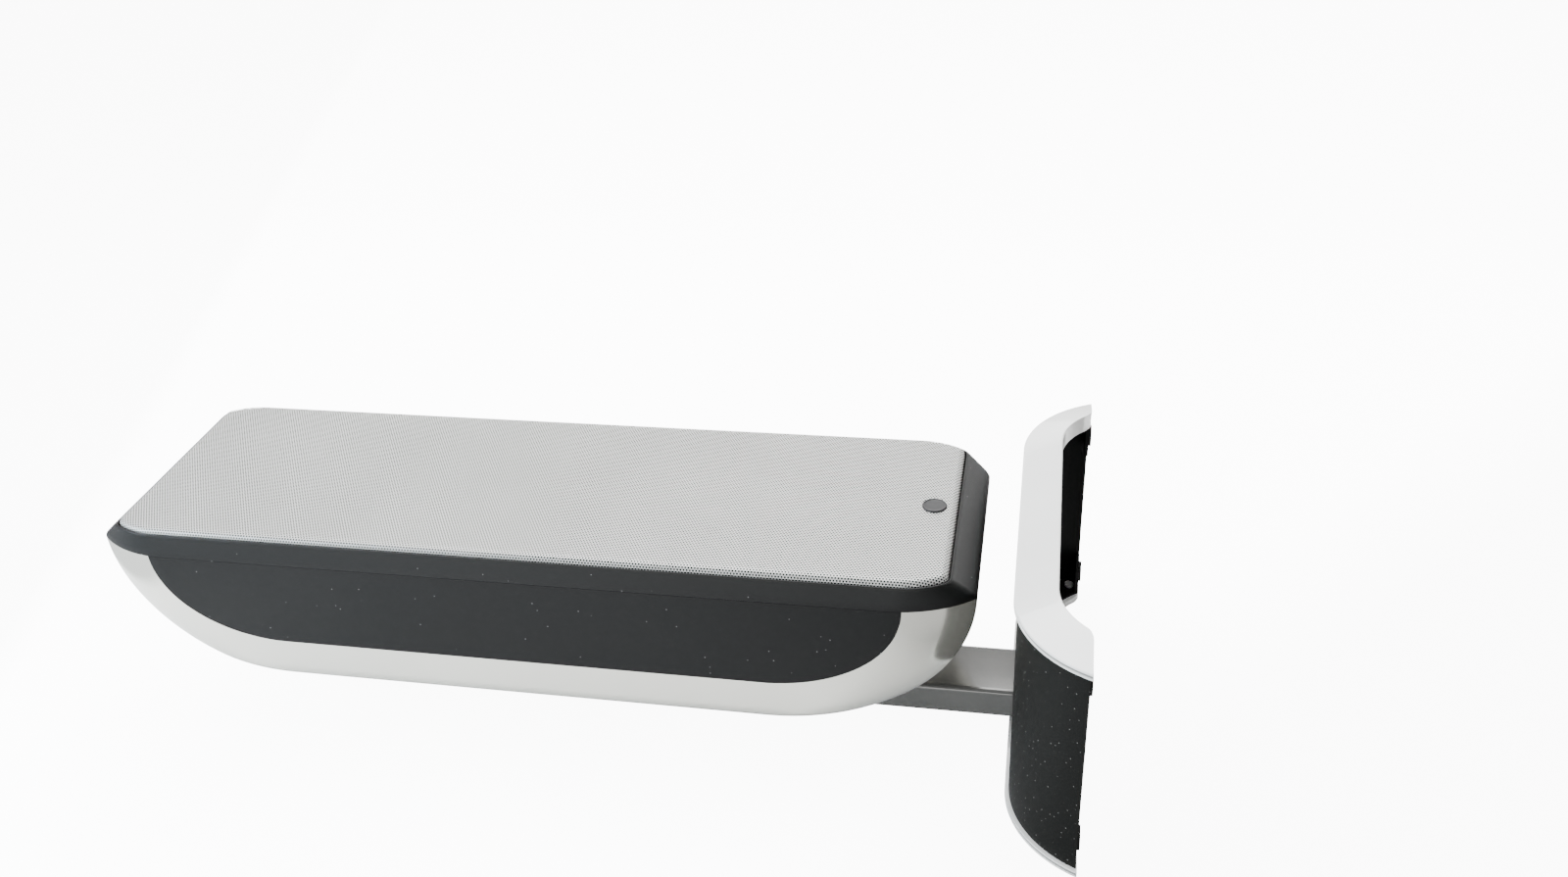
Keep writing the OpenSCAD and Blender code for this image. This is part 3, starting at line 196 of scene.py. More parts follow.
def finish(name, colour, rough, metal=0.0, coat=0.0, shine=0.5, cells=2000.0, drift=0.12, relief=0.00002,
           spread=0.06):
    mat = bpy.data.materials.new(name)
    mat.use_nodes = True
    tree = mat.node_tree
    shader = tree.nodes["Principled BSDF"]
    shader.inputs["Metallic"].default_value = metal
    shader.inputs["Coat Weight"].default_value = coat
    shader.inputs["Coat Roughness"].default_value = 0.06
    shader.inputs["Specular IOR Level"].default_value = shine
    skin_grain = tree.nodes.new("ShaderNodeGroup")
    skin_grain.node_tree = grain
    skin_grain.inputs["Cells per metre"].default_value = cells
    skin_grain.inputs["Drift"].default_value = drift
    shade = tree.nodes.new("ShaderNodeMix")
    shade.name = "shade"
    shade.data_type = "RGBA"
    shade.blend_type = "MULTIPLY"
    shade.inputs["Factor"].default_value = 1.0
    shade.inputs["A"].default_value = (*colour, 1)
    gloss = tree.nodes.new("ShaderNodeMapRange")
    gloss.inputs["To Min"].default_value = rough - spread
    gloss.inputs["To Max"].default_value = rough + spread
    bump = tree.nodes.new("ShaderNodeBump")
    bump.inputs["Strength"].default_value = 1.0
    bump.inputs["Distance"].default_value = relief
    tree.links.new(skin_grain.outputs["Tone"], shade.inputs["B"])
    tree.links.new(shade.outputs["Result"], shader.inputs["Base Color"])
    tree.links.new(skin_grain.outputs["Patch"], gloss.inputs["Value"])
    tree.links.new(gloss.outputs["Result"], shader.inputs["Roughness"])
    tree.links.new(skin_grain.outputs["Height"], bump.inputs["Height"])
    tree.links.new(bump.outputs["Normal"], shader.inputs["Normal"])
    return mat


champagne_lacquer = finish("champagne_lacquer", (0.83, 0.815, 0.735), rough=0.14, metal=0.8, coat=0.3,
                           cells=1400.0, drift=0.04, relief=0.000001, spread=0.03)
panel_drop, panel_run, panel_t, panel_end = 0.075, 0.106, 0.0025, 0.053
panel_half = half_len - panel_end


def side_y(x, drop, inset):
    form = shell_form(drop, inset)
    curve_at = plan_centres(form)[1]
    past = max(0.0, abs(x) - curve_at[0])
    return curve_at[1] + math.sqrt((side_curve - inset) ** 2 - past ** 2)


# A boat-shaped slab that follows the shell's side, as the cover itself or as the tool for its recess
def panel_block(side, grow, outside, above, rows=28, columns=48):
    levels = [(panel_half + grow, -above)] if above else []
    for k in range(rows + 1):
        t = math.pi / 2 * k / rows
        reach = panel_half - panel_run + (panel_run + grow) * math.cos(t)
        levels.append((reach, (panel_drop + grow) * math.sin(t)))
    verts = []
    for inset in (-outside, panel_t):
        for reach, drop in levels:
            for i in range(columns + 1):
                x = reach * math.sin(math.pi / 2 * (2 * i / columns - 1))
                y = side_y(x, max(0.0, drop), max(0.0, inset)) + max(0.0, -inset)
                verts.append((cab_x + x, side * y, seam_z - drop))
    wide, tall = columns + 1, len(levels)
    back = wide * tall
    faces = []
    for k in range(tall - 1):
        for i in range(columns):
            a = k * wide + i
            faces.append((a, a + 1, a + wide + 1, a + wide))
            faces.append((back + a + wide, back + a + wide + 1, back + a + 1, back + a))
    rim = list(range(wide)) + [k * wide + columns for k in range(1, tall)]
    rim += [(tall - 1) * wide + i for i in range(columns - 1, -1, -1)]
    rim += [k * wide for k in range(tall - 2, 0, -1)]
    for a, b in zip(rim, rim[1:] + rim[:1]):
        faces.append((b, a, back + a, back + b))
    if side < 0:
        faces = [f[::-1] for f in faces]
    return verts, faces


def round_rect(cx, cy, half_x, half_y, r, z, steps=8):
    ring = []
    for q in range(4):
        sx, sy = 1 if q in (0, 3) else -1, 1 if q < 2 else -1
        for i in range(steps + 1):
            t = math.pi / 2 * (q + i / steps)
            ring.append((cx + sx * (half_x - r) + r * math.cos(t),
                         cy + sy * (half_y - r) + r * math.sin(t), z))
    return ring


shell_levels = 44
shell_rings = [shell_ring(math.pi / 2 * k / shell_levels, 0.0) for k in range(shell_levels, -1, -1)]
shell_rings += [shell_ring(math.pi / 2 * k / shell_levels, shell_wall) for k in range(shell_levels + 1)]
shell = piece("shell", *skin(shell_rings), champagne_lacquer, "cabinet", ["rear_shell"], "shell")
cup_lo, cup_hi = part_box("terminal_cup")
cup_rim, cup_round, overcut = 0.007, 0.006, 0.01
cup_x, cup_half = (cup_lo.x + cup_hi.x) / 2, (cup_hi.x - cup_lo.x) / 2
cup_hole = [round_rect(cup_x, 0, cup_half - cup_rim + fit_gap, cup_hi.y - cup_rim + fit_gap, cup_round, z)
            for z in (back_z - overcut, back_z + 2 * overcut)]
panel_tools = [cutter(*panel_block(side, fit_gap, overcut, overcut)) for side in (-1, 1)]
cut(shell, *panel_tools, cutter(*skin(cup_hole)))
soften(shell, width=0.001)

# Side panels
# Black boat-shaped covers of thin grained plastic, set flush into the shell's long sides.
# Three pins on the back of each hold them.
grained_black = finish("grained_black", (0.004, 0.0041, 0.004), rough=0.48, shine=0.22, cells=3200.0,
                       drift=0.15, relief=0.00004)

# Bright specks, as of dust or of flakes in a textured paint
specks, specks_in, specks_out = start_group(
    "Fine specks", [("Cells per metre", 700.0), ("Share", 0.3)], ["Mask"])
where = specks.nodes.new("ShaderNodeTexCoord")
dots = specks.nodes.new("ShaderNodeTexVoronoi")
dot_size = specks.nodes.new("ShaderNodeMath")
dot_size.operation = "LESS_THAN"
dot_size.inputs[1].default_value = 0.16
split = specks.nodes.new("ShaderNodeSeparateColor")
pick = specks.nodes.new("ShaderNodeMath")
pick.operation = "LESS_THAN"
both = specks.nodes.new("ShaderNodeMath")
both.operation = "MULTIPLY"
specks.links.new(where.outputs["Object"], dots.inputs["Vector"])
specks.links.new(specks_in.outputs["Cells per metre"], dots.inputs["Scale"])
specks.links.new(dots.outputs["Distance"], dot_size.inputs[0])
specks.links.new(dots.outputs["Color"], split.inputs["Color"])
specks.links.new(split.outputs["Red"], pick.inputs[0])
specks.links.new(specks_in.outputs["Share"], pick.inputs[1])
specks.links.new(dot_size.outputs[0], both.inputs[0])
specks.links.new(pick.outputs[0], both.inputs[1])
specks.links.new(both.outputs[0], specks_out.inputs["Mask"])


def speckle(material, colour, cells, share):
    tree = material.node_tree
    dust = tree.nodes.new("ShaderNodeGroup")
    dust.node_tree = specks
    dust.inputs["Cells per metre"].default_value = cells
    dust.inputs["Share"].default_value = share
    over = tree.nodes.new("ShaderNodeMix")
    over.data_type = "RGBA"
    over.inputs["B"].default_value = (*colour, 1)
    tree.links.new(dust.outputs["Mask"], over.inputs["Factor"])
    tree.links.new(tree.nodes["shade"].outputs["Result"], over.inputs["A"])
    tree.links.new(over.outputs["Result"], tree.nodes["Principled BSDF"].inputs["Base Color"])


speckle(grained_black, (0.12, 0.12, 0.12), 300.0, 0.04)
for side, name in ((-1, "left"), (1, "right")):
    cover = piece("panel_" + name, *panel_block(side, 0.0, 0.0, 0.0), grained_black, "cabinet",
                  ["side_panel_" + name], "panel")
    soften(cover, width=0.0004)

# Terminals
# A moulded cup in the back holds two plated brass posts with lock nuts inside. A clamp collar
# and a fluted thumb nut ride on each post, red for plus and black for minus.


def dress(material, *names):
    for name in names:
        cad[name].data.materials.clear()
        cad[name].data.materials.append(material)


black_mould = finish("black_mould", (0.012, 0.012, 0.012), rough=0.5, shine=0.25)
black_zinc = finish("black_zinc", (0.03, 0.03, 0.03), rough=0.4, metal=0.7)
zinc_steel = finish("zinc_steel", (0.55, 0.55, 0.56), rough=0.32, metal=1.0)
dress(black_mould, "terminal_cup")
dress(black_zinc, "terminal_screws")
dress(zinc_steel, "terminal_lock_nuts")
plated_brass = finish("plated_brass", (0.75, 0.56, 0.2), rough=0.25, metal=1.0)
dress(plated_brass, "terminal_studs", "positive_collar", "negative_collar")
dress(finish("red_grip", (0.4, 0.02, 0.015), rough=0.35), "positive_knob")
dress(finish("black_grip", (0.02, 0.02, 0.02), rough=0.35), "negative_knob")

# Crossover
# A green laminate board on nylon standoffs inside the back, with copper coils lying flat on it
# and film capacitors wrapped in yellow tape.
copper_wire = finish("copper_wire", (0.6, 0.28, 0.13), rough=0.3, metal=1.0)
dress(finish("green_laminate", (0.02, 0.10, 0.05), rough=0.45), "crossover_board")
dress(copper_wire, "crossover_coils")
dress(finish("film_wrap", (0.5, 0.33, 0.06), rough=0.35), "crossover_capacitors")
dress(finish("natural_nylon", (0.7, 0.7, 0.66), rough=0.5), "crossover_standoffs")

# Front baffle with its bezel
# One black moulding: a board that carries the drive units, and a bezel round the grille
# that slopes at the ends. It sits on the shell's rim and is screwed down inside the pocket.
baffle_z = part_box("tweeter_faceplate")[0].z
bezel_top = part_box("front_baffle")[1].z
grille_lo, grille_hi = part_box("grille")
grille_form = ((grille_hi.x - grille_lo.x) / 2, grille_hi.y, 0.062, math.radians(32), 0.008)
cab_form = (half_len, half_wide, side_curve, side_turn, corner_r)
grille_gap, lip_t, land = 0.0012, 0.0014, 0.0025
lip = grille_gap + lip_t
top_form = tuple(v + g for v, g in zip(grille_form, (lip, lip, lip, 0.0, lip)))


def bezel_ring(share, z, grow=0.0):
    form = tuple(a + share * (b - a) for a, b in zip(cab_form, top_form))
    return plan_ring(form, grow, z)


slope_z, slope_h = seam_z + land, bezel_top - seam_z - land
knee, brow, soft, lip_soft = 0.22, 0.14, 0.0003, 0.0008
bezel_rings = [bezel_ring(0.0, z, -shell_wall - fit_gap) for z in (seam_z - shell_wall, seam_z)]
bezel_rings += [bezel_ring(0.0, seam_z, -soft), bezel_ring(0.0, seam_z + soft)]
for i in range(9):
    t = i / 8
    rise = 2 * t * (1 - t) * land + t * t * (land + knee * slope_h)
    bezel_rings.append(bezel_ring(knee * t * t, seam_z + max(rise, 2 * soft)))
for i in range(9):
    t = i / 8
    share = 1 - brow * (1 - t) ** 2
    bezel_rings.append(bezel_ring(share, slope_z + slope_h * share - lip_soft * t * t))
for i in range(1, 5):
    t = math.pi / 8 * i
    bezel_rings.append(bezel_ring(1.0, bezel_top - lip_soft * (1 - math.sin(t)),
                                  lip_soft * (math.cos(t) - 1)))
bezel_rings += [bezel_ring(1.0, bezel_top, soft - lip_t), bezel_ring(1.0, bezel_top - soft, -lip_t),
                bezel_ring(1.0, baffle_z, -lip_t)]
satin_black = finish("satin_black", (0.005, 0.0052, 0.005), rough=0.44, shine=0.26, cells=2400.0,
                     relief=0.00004)
speckle(satin_black, (0.12, 0.12, 0.12), 300.0, 0.03)
bezel = piece("bezel", *skin(bezel_rings), satin_black, "cabinet", ["front_baffle"], "bezel")
basket_lo, basket_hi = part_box("woofer_baskets")
woofer_r = basket_hi.y
woofer_cut, tweeter_cut, cut_below, cut_above = 0.071, 0.0373, 0.03, 0.004


def hole_tool(x, r, z0, z1, steps=72):
    turns = [2 * math.pi * i / steps for i in range(steps)]
    return cutter(*skin([[(x + r * math.cos(t), r * math.sin(t), z) for t in turns] for z in (z0, z1)]))


cut(bezel, *[hole_tool(x, r, baffle_z - cut_below, baffle_z + cut_above)
             for x, r in ((basket_lo.x + woofer_r, woofer_cut), (basket_hi.x - woofer_r, woofer_cut),
                          (cab_x, tweeter_cut))])
soften(bezel, width=0.0003, segments=2, angle=40)
soft_rubber = finish("soft_rubber", (0.012, 0.012, 0.012), rough=0.75, shine=0.25)
dress(black_zinc, "baffle_screws")
dress(soft_rubber, "grille_sockets")

# Woofers
# Two drive units of pressed steel baskets, each with a ferrite ring between steel plates, a copper
# coil on a black pressed cone, a rubber surround and a resin-stiffened cloth spider.
powder_black = finish("powder_black", (0.015, 0.015, 0.015), rough=0.55, shine=0.3, cells=1200.0,
                      relief=0.0001)
dress(powder_black, "woofer_baskets")
dress(soft_rubber, "woofer_gaskets", "upper_surround", "lower_surround")
dress(zinc_steel, "woofer_front_plates", "woofer_yokes")
dress(finish("fired_ferrite", (0.05, 0.05, 0.055), rough=0.7), "woofer_magnets")
dress(copper_wire, "upper_voice_coil", "lower_voice_coil")
pressed_cone = finish("pressed_cone", (0.02, 0.02, 0.022), rough=0.6, cells=900.0, relief=0.0002)
dress(pressed_cone, "upper_cone", "lower_cone")
dress(finish("cap_black", (0.02, 0.02, 0.02), rough=0.35), "upper_dust_cap", "lower_dust_cap")
dress(finish("resin_cloth", (0.36, 0.24, 0.10), rough=0.85), "upper_spider", "lower_spider")
dress(black_zinc, "woofer_screws")

# Tweeter
# A coated silk dome on a black faceplate, with its magnet and yoke in one can behind the baffle.
# Four screws hold it between the woofers.
dress(black_mould, "tweeter_faceplate")
dress(finish("coated_silk", (0.015, 0.015, 0.017), rough=0.6), "tweeter_dome")
dress(zinc_steel, "tweeter_motor")
dress(black_zinc, "tweeter_screws")

# Grille
# A thin steel sheet, punched with staggered round holes, bent down all round and sprayed silver.
# A dark lining backs the holes, partly a real cloth and partly painted shade for the dark inside seen
# through them, and pegs behind it push into rubber sockets in the baffle.
sheet_t, grille_bend, skirt = 0.001, 0.005, grille_hi.z - grille_lo.z
hole_pitch, hole_r, hole_sides = 0.00238, 0.0008, 12
rim_clear, weld = 0.62 * hole_pitch, 0.01 * hole_pitch
face_z = grille_hi.z
grille_corner, grille_curve = plan_centres(grille_form)
bend_run = grille_bend * math.pi / 2
reach = bend_run + skirt - grille_bend


# How far a point of the flat sheet lies past the start of the bend, and which way is outward
def past_bend(u, v):
    half_l, half_w, curve, turn, corner = grille_form
    at_u, at_v = np.abs(u), np.abs(v)
    from_curve = np.stack([at_u - grille_curve[0], at_v - grille_curve[1]], -1)
    from_corner = np.stack([at_u - grille_corner[0], at_v - grille_corner[1]], -1)
    on_side, on_end = from_curve[..., 0] <= 0, from_corner[..., 1] <= 0
    on_curve = np.arctan2(from_curve[..., 0], from_curve[..., 1]) <= turn
    curve_far = np.hypot(from_curve[..., 0], from_curve[..., 1])
    corner_far = np.hypot(from_corner[..., 0], from_corner[..., 1])
    past = np.select([on_side, on_end, on_curve],
                     [at_v - half_w, at_u - half_l, curve_far - curve], corner_far - corner) + grille_bend
    zero, one = np.zeros_like(at_u), np.ones_like(at_u)
    out_u = np.select([on_side, on_end, on_curve],
                      [zero, one, from_curve[..., 0] / np.maximum(curve_far, 1e-9)],
                      from_corner[..., 0] / np.maximum(corner_far, 1e-9))
    out_v = np.select([on_side, on_end, on_curve],
                      [one, zero, from_curve[..., 1] / np.maximum(curve_far, 1e-9)],
                      from_corner[..., 1] / np.maximum(corner_far, 1e-9))
    return past, out_u * np.sign(u), out_v * np.sign(v)


# Bends the flat sheet down round its edge
def drape(u, v, inset=0.0):
    past, out_u, out_v = past_bend(u, v)
    past = np.clip(past, 0, reach)
    turn = np.minimum(past / grille_bend, math.pi / 2)
    out = (grille_bend - inset) * np.sin(turn) - past
    drop = (grille_bend - inset) * (1 - np.cos(turn)) + np.maximum(past - bend_run, 0) + inset
    return np.stack([cab_x + u + out_u * out, v + out_v * out, face_z - drop], -1)


row = hole_pitch * math.sqrt(3) / 2
rows = int((grille_form[1] + reach) / row) + 1
columns = int((grille_form[0] + reach) / hole_pitch) + 1
spots = np.array([((i + 0.5 * (j % 2)) * hole_pitch, j * row)
                  for j in range(-rows, rows + 1) for i in range(-columns, columns + 1)])
spots = spots[past_bend(spots[:, 0], spots[:, 1])[0] < reach - rim_clear]


def corners_round(radius, sides):
    turn = np.radians(30 + 360 / sides * np.arange(sides))
    return (spots[:, None] + radius * np.stack([np.cos(turn), np.sin(turn)], -1)).reshape(-1, 2)


cell_corners = corners_round(hole_pitch / math.sqrt(3), 6)
hole_corners = corners_round(hole_r, hole_sides)
keys = np.round(cell_corners / weld).astype(np.int64)
_, first, index = np.unique(keys, axis=0, return_index=True, return_inverse=True)
flat = np.concatenate([cell_corners[first], hole_corners])
cells = index.reshape(-1, 6)
holes = len(first) + np.arange(len(hole_corners)).reshape(-1, hole_sides)
quads, tris = [], []
for k in range(6):
    after = (k + 1) % 6
    quads.append(np.stack([cells[:, k], cells[:, after], holes[:, 2 * k + 1], holes[:, 2 * k]], -1))
    tris.append(np.stack([cells[:, after], holes[:, 2 * after], holes[:, 2 * k + 1]], -1))
quads, tris = np.concatenate(quads), np.concatenate(tris)
corners = np.concatenate([quads.ravel(), tris.ravel()]).astype(np.int32)
starts = np.concatenate([4 * np.arange(len(quads)), quads.size + 3 * np.arange(len(tris))]).astype(np.int32)
mesh = bpy.data.meshes.new("grille_sheet")
mesh.vertices.add(len(flat))
mesh.vertices.foreach_set("co", drape(flat[:, 0], flat[:, 1]).astype(np.float32).ravel())
mesh.loops.add(len(corners))
mesh.polygons.add(len(starts))
mesh.loops.foreach_set("vertex_index", corners)
mesh.polygons.foreach_set("loop_start", starts)
layer = mesh.uv_layers.new(name="OFBake")
span_u, span_v = grille_form[0] + reach, grille_form[1] + reach
uv = np.stack([(flat[:, 0] + span_u) / (2 * span_u), (flat[:, 1] + span_v) / (2 * span_u)], -1)
layer.data.foreach_set("uv", uv[corners].astype(np.float32).ravel())
mesh.polygons.foreach_set("use_smooth", [True] * len(starts))
mesh.update(calc_edges=True)
mesh.validate()
silver_spray = finish("silver_spray", (0.60, 0.60, 0.58), rough=0.42, metal=0.4, cells=5000.0, drift=0.06,
                      relief=0.00001)
mesh.materials.append(silver_spray)
sheet = bpy.data.objects.new("grille_sheet", mesh)
bpy.context.collection.objects.link(sheet)
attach(sheet, "grille_frame")
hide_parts("grille")

# Near black: partly the lining's own colour, partly painted shade for the shadowed inside behind the holes
# and the skirt.
lining_cloth_and_shade = finish("lining_cloth_and_shade", (0.012, 0.012, 0.012), rough=0.9, shine=0.1, cells=2600.0, drift=0.2,
                      relief=0.0001)
lining_flat, nudge, bend_steps = 0.003, 1e-6, 8
lining_rings = []
for past in [-lining_flat, 0.0] + [bend_run * (i + 1) / bend_steps for i in range(bend_steps)] + [reach]:
    ring = np.array(plan_ring(grille_form, past - grille_bend + nudge, 0.0))
    lining_rings.append([tuple(p) for p in drape(ring[:, 0] - cab_x, ring[:, 1], sheet_t)])
verts, faces = skin(lining_rings, False)
faces = [f[::-1] for f in faces] + [tuple(range(len(lining_rings[0])))]
piece("grille_lining_and_shade", verts, faces, lining_cloth_and_shade, "grille_frame", (), "grille")
dress(black_mould, "grille_pegs")

# Badge
# A plain dark disc with a raised rim, stuck to the grille near the foot.
badge_lo, badge_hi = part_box("grille_badge")
badge_x, badge_r, badge_t = (badge_lo.x + badge_hi.x) / 2, badge_hi.y, badge_hi.z - badge_lo.z
badge_path = [(1.0, 0.0), (1.0, 0.62), (0.985, 0.85), (0.95, 0.97), (0.92, 1.0), (0.89, 0.97), (0.865, 0.88),
              (0.85, 0.72), (0.82, 0.66), (0.5, 0.7), (0.2, 0.73)]
badge_turns = [math.pi * i / 36 for i in range(72)]
badge_rings = [[(badge_x + badge_r * s * math.cos(t), badge_r * s * math.sin(t), badge_lo.z + h * badge_t)
                for t in badge_turns] for s, h in badge_path]
dark_plate = finish("dark_plate", (0.02, 0.02, 0.021), rough=0.35, shine=0.3, cells=4000.0, relief=0.00001)
piece("badge", *skin(badge_rings), dark_plate, "grille_frame", ["grille_badge"], "badge")

# Stand bracket
# A hat section of powder-coated steel, screwed to bosses in the shell's back. The arm lies in
# front of its web, held by three screws into threaded inserts.
dress(powder_black, "stand_bracket")
dress(zinc_steel, "bracket_screws", "arm_screws", "arm_inserts")

# Arm
# A rectangular tube with rounded edges and a glossy grey lacquer, closed by a black cap, with a
# sawn aluminium plug in the foot end that takes the bolts.
arm_lo, arm_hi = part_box("arm_tube")
arm_mid, arm_half = (arm_lo.z + arm_hi.z) / 2, arm_hi.y
arm_round, arm_wall, arm_soft = 0.004, 0.0025, 0.0004


def tube_ring(x, inset):
    ring = round_rect(0, arm_mid, arm_half - inset, (arm_hi.z - arm_lo.z) / 2 - inset,
                      max(arm_round - inset, 0.001), 0, 6)
    return [(x, y, z) for y, z, _ in ring]


arm_rings = [tube_ring(x, inset) for x, inset in (
    (arm_lo.x, arm_wall), (arm_lo.x, arm_soft), (arm_lo.x + arm_soft, 0.0),
    (arm_hi.x - arm_soft, 0.0), (arm_hi.x, arm_soft), (arm_hi.x, arm_wall), (arm_lo.x, arm_wall))]
grey_lacquer = finish("grey_lacquer", (0.17, 0.17, 0.163), rough=0.13, metal=0.4, cells=1800.0, drift=0.06,
                      relief=0.000006)
arm = piece("arm", *skin(arm_rings, False), grey_lacquer, "cabinet", ["arm_tube"], "arm")
flatten(arm)
dress(black_mould, "arm_cap")
dress(finish("sawn_aluminium", (0.65, 0.65, 0.66), rough=0.4, metal=1.0), "arm_plug")

# Foot trims
# Two bright satin bands, cast and polished, on the front and back edges of the arch, screwed on
# from inside. The front one slopes up to its inner edge, and both carry a fine groove in the rim, coloured
# grey in its recess as painted shade.
arch_lo, arch_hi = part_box("foot_arch")
trim_lo, trim_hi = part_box("foot_front_trim")
rear_lo, rear_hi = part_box("foot_rear_trim")
arch_r, spine_half, trim_over, trim_w = 0.089, 0.103, 0.00296, 0.031
floor_x, arc_x = trim_hi.x, arch_lo.x + arch_r
low_r, rim_r = arch_r + trim_over - trim_w, arch_r + trim_over
rim_h, leg_round, crown = 0.005, 0.006, trim_hi.z - trim_lo.z


# Carries a profile of radius and height up one leg, along the spine and down the other leg
def foot_sweep(profile, x_end, steps=40):
    stations = []
    for leg in (-1, 1):
        for k in range(steps + 1):
            share = 1 - k / steps if leg < 0 else k / steps
            ring = []
            for r, z in profile:
                turn = math.acos(min(1.0, (arc_x - x_end(r)) / r)) * share
                ring.append((arc_x - r * math.cos(turn), leg * (spine_half + r * math.sin(turn)), z))
            stations.append(ring)
    return skin(stations)


# Rounds the corners of a closed profile
def rounded(points, radii, steps=5):
    path = []
    for i, (p, r) in enumerate(zip(points, radii)):
        p, a, b = np.array(p), np.array(points[i - 1]), np.array(points[(i + 1) % len(points)])
        if r <= 0:
            path.append(tuple(p))
            continue
        start = p + (a - p) / np.linalg.norm(a - p) * r
        end = p + (b - p) / np.linalg.norm(b - p) * r
        for k in range(steps + 1):
            t = k / steps
            path.append(tuple((1 - t) ** 2 * start + 2 * t * (1 - t) * p + t * t * end))
    return path


# The tips of the trims are rounded at their inner edge
def leg_end(r):
    near = max(0.0, leg_round - (r - low_r))
    return floor_x - (leg_round - math.sqrt(max(0.0, leg_round ** 2 - near ** 2)))


groove, groove_w = 0.0008, 0.0003
leg_steps = [low_r + leg_round * k / 4 for k in range(1, 4)]
rim_low, rim_mid = 0.0014, 0.0023
rim_path = [(rim_r, rim_low), (rim_r - groove, rim_low + groove_w),
            (rim_r - groove, rim_low + groove_w + rim_mid), (rim_r, rim_low + 2 * groove_w + rim_mid)]
face_steps = 14
front_points = [(low_r, 0.0)] + [(r, 0.0) for r in leg_steps] + [(rim_r, 0.0)] + rim_path + [(rim_r, rim_h)]
front_points += [(rim_r + (low_r - rim_r) * k / face_steps, rim_h + (crown - rim_h) * k / face_steps)
                 for k in range(1, face_steps + 1)]
front_round = [0.0003, 0, 0, 0, 0.0003, 0, 0, 0, 0, 0.0012] + [0] * (face_steps - 1) + [0.0016]


# Gives a second material, a painted shade, to the faces within a band of radii
def repaint(obj, material, inner, outer, steep=2.0):
    obj.data.materials.append(material)
    for face in obj.data.polygons:
        r = math.hypot(arc_x - face.center.x, max(0.0, abs(face.center.y) - spine_half))
        face.material_index = int(inner < r < outer and abs(face.normal.z) < steep)


satin_silver = finish("satin_silver", (0.93, 0.93, 0.91), rough=0.3, metal=0.05, coat=0.8, cells=2200.0,
                      drift=0.04, relief=0.00001)
front_profile = [(r, trim_lo.z + z) for r, z in rounded(front_points, front_round)]
front_trim = piece("foot_trim_front", *foot_sweep(front_profile, leg_end), satin_silver, "cabinet",
                   ["foot_front_trim"], "trim")
# Painted shade: the groove's faces are coloured mid grey for the shadow in the recess.
groove_painted_shade = finish("groove_painted_shade", (0.3, 0.3, 0.29), rough=0.5)
painted_shade_band, wall_tilt = (rim_r - 1.3 * groove, rim_r - 0.3 * groove), 0.3
repaint(front_trim, groove_painted_shade, *painted_shade_band, wall_tilt)
soften(front_trim, width=0.0004, segments=2, angle=50)
rear_t = rear_hi.z - rear_lo.z
rear_points = [(low_r, 0.0)] + [(r, 0.0) for r in leg_steps] + [(rim_r, 0.0)] + rim_path + [(rim_r, rear_t)]
rear_points += [(r, rear_t) for r in leg_steps[::-1]] + [(low_r, rear_t)]
rear_round = [0.0008, 0, 0, 0, 0.0012, 0, 0, 0, 0, 0.0003, 0, 0, 0, 0.0003]
rear_profile = [(r, rear_lo.z + z) for r, z in rounded(rear_points, rear_round)]
rear_trim = piece("foot_trim_rear", *foot_sweep(rear_profile, leg_end), satin_silver, "cabinet",
                  ["foot_rear_trim"], "trim")
repaint(rear_trim, groove_painted_shade, *painted_shade_band, wall_tilt)
soften(rear_trim, width=0.0004, segments=2, angle=50)

# Foot arch
# A bent black arch of metal in speckled texture paint, painted darker inside as painted shade, open to the
# floor, with flanges behind both trims and a lug in each corner for a rubber pad.
arch_wall, flange_w, flange_t, lug, lug_t, floor_gap = 0.004, 0.024, 0.003, 0.026, 0.003, 0.001
in_r, flange_r = arch_r - arch_wall, arch_r - flange_w
arch_points = [(flange_r, arch_lo.z), (arch_r, arch_lo.z), (arch_r, arch_hi.z), (flange_r, arch_hi.z),
               (flange_r, arch_hi.z - flange_t), (in_r, arch_hi.z - flange_t), (in_r, arch_lo.z + flange_t),
               (flange_r, arch_lo.z + flange_t)]
arch_profile = rounded(arch_points, [0.0004] * 5 + [0.002, 0.002, 0.0004])
verts, faces = foot_sweep(arch_profile, lambda r: floor_x - floor_gap)
for leg in (-1, 1):
    for z0 in (arch_lo.z + flange_t, arch_hi.z - flange_t - lug):
        k = len(verts)
        for x in (floor_x - floor_gap - lug_t, floor_x - floor_gap):
            near = leg * (spine_half + math.sqrt(flange_r ** 2 - (arc_x - x) ** 2))
            far = leg * (spine_half + math.sqrt((in_r + arch_wall / 4) ** 2 - (arc_x - x) ** 2))
            verts += [(x, near, z0), (x, far, z0), (x, far, z0 + lug), (x, near, z0 + lug)]
        faces += [(k + 3, k + 2, k + 1, k), (k + 4, k + 5, k + 6, k + 7), (k, k + 1, k + 5, k + 4),
                  (k + 1, k + 2, k + 6, k + 5), (k + 2, k + 3, k + 7, k + 6), (k + 3, k, k + 4, k + 7)]

speckled_black = finish("speckled_black", (0.007, 0.0072, 0.0064), rough=0.55, shine=0.12, cells=1500.0,
                        drift=0.2, relief=0.00015, spread=0.08)
speckle(speckled_black, (0.16, 0.16, 0.15), 350.0, 0.25)
arch = piece("arch", verts, faces, speckled_black, "cabinet", ["foot_arch"], "arch")
# Painted shade: the inner faces get a near-black, less shiny finish for the dark inside of the arch.
inside_painted_shade = finish("inside_painted_shade", (0.003, 0.003, 0.003), rough=0.7, shine=0.06)
repaint(arch, inside_painted_shade, 0.0, in_r + arch_wall / 4)
soften(arch, width=0.0003, segments=2, angle=50)
dress(zinc_steel, "foot_bolts")
dress(finish("bright_zinc", (0.85, 0.85, 0.84), rough=0.42, metal=0.8), "trim_screws")
dress(soft_rubber, "foot_pads")
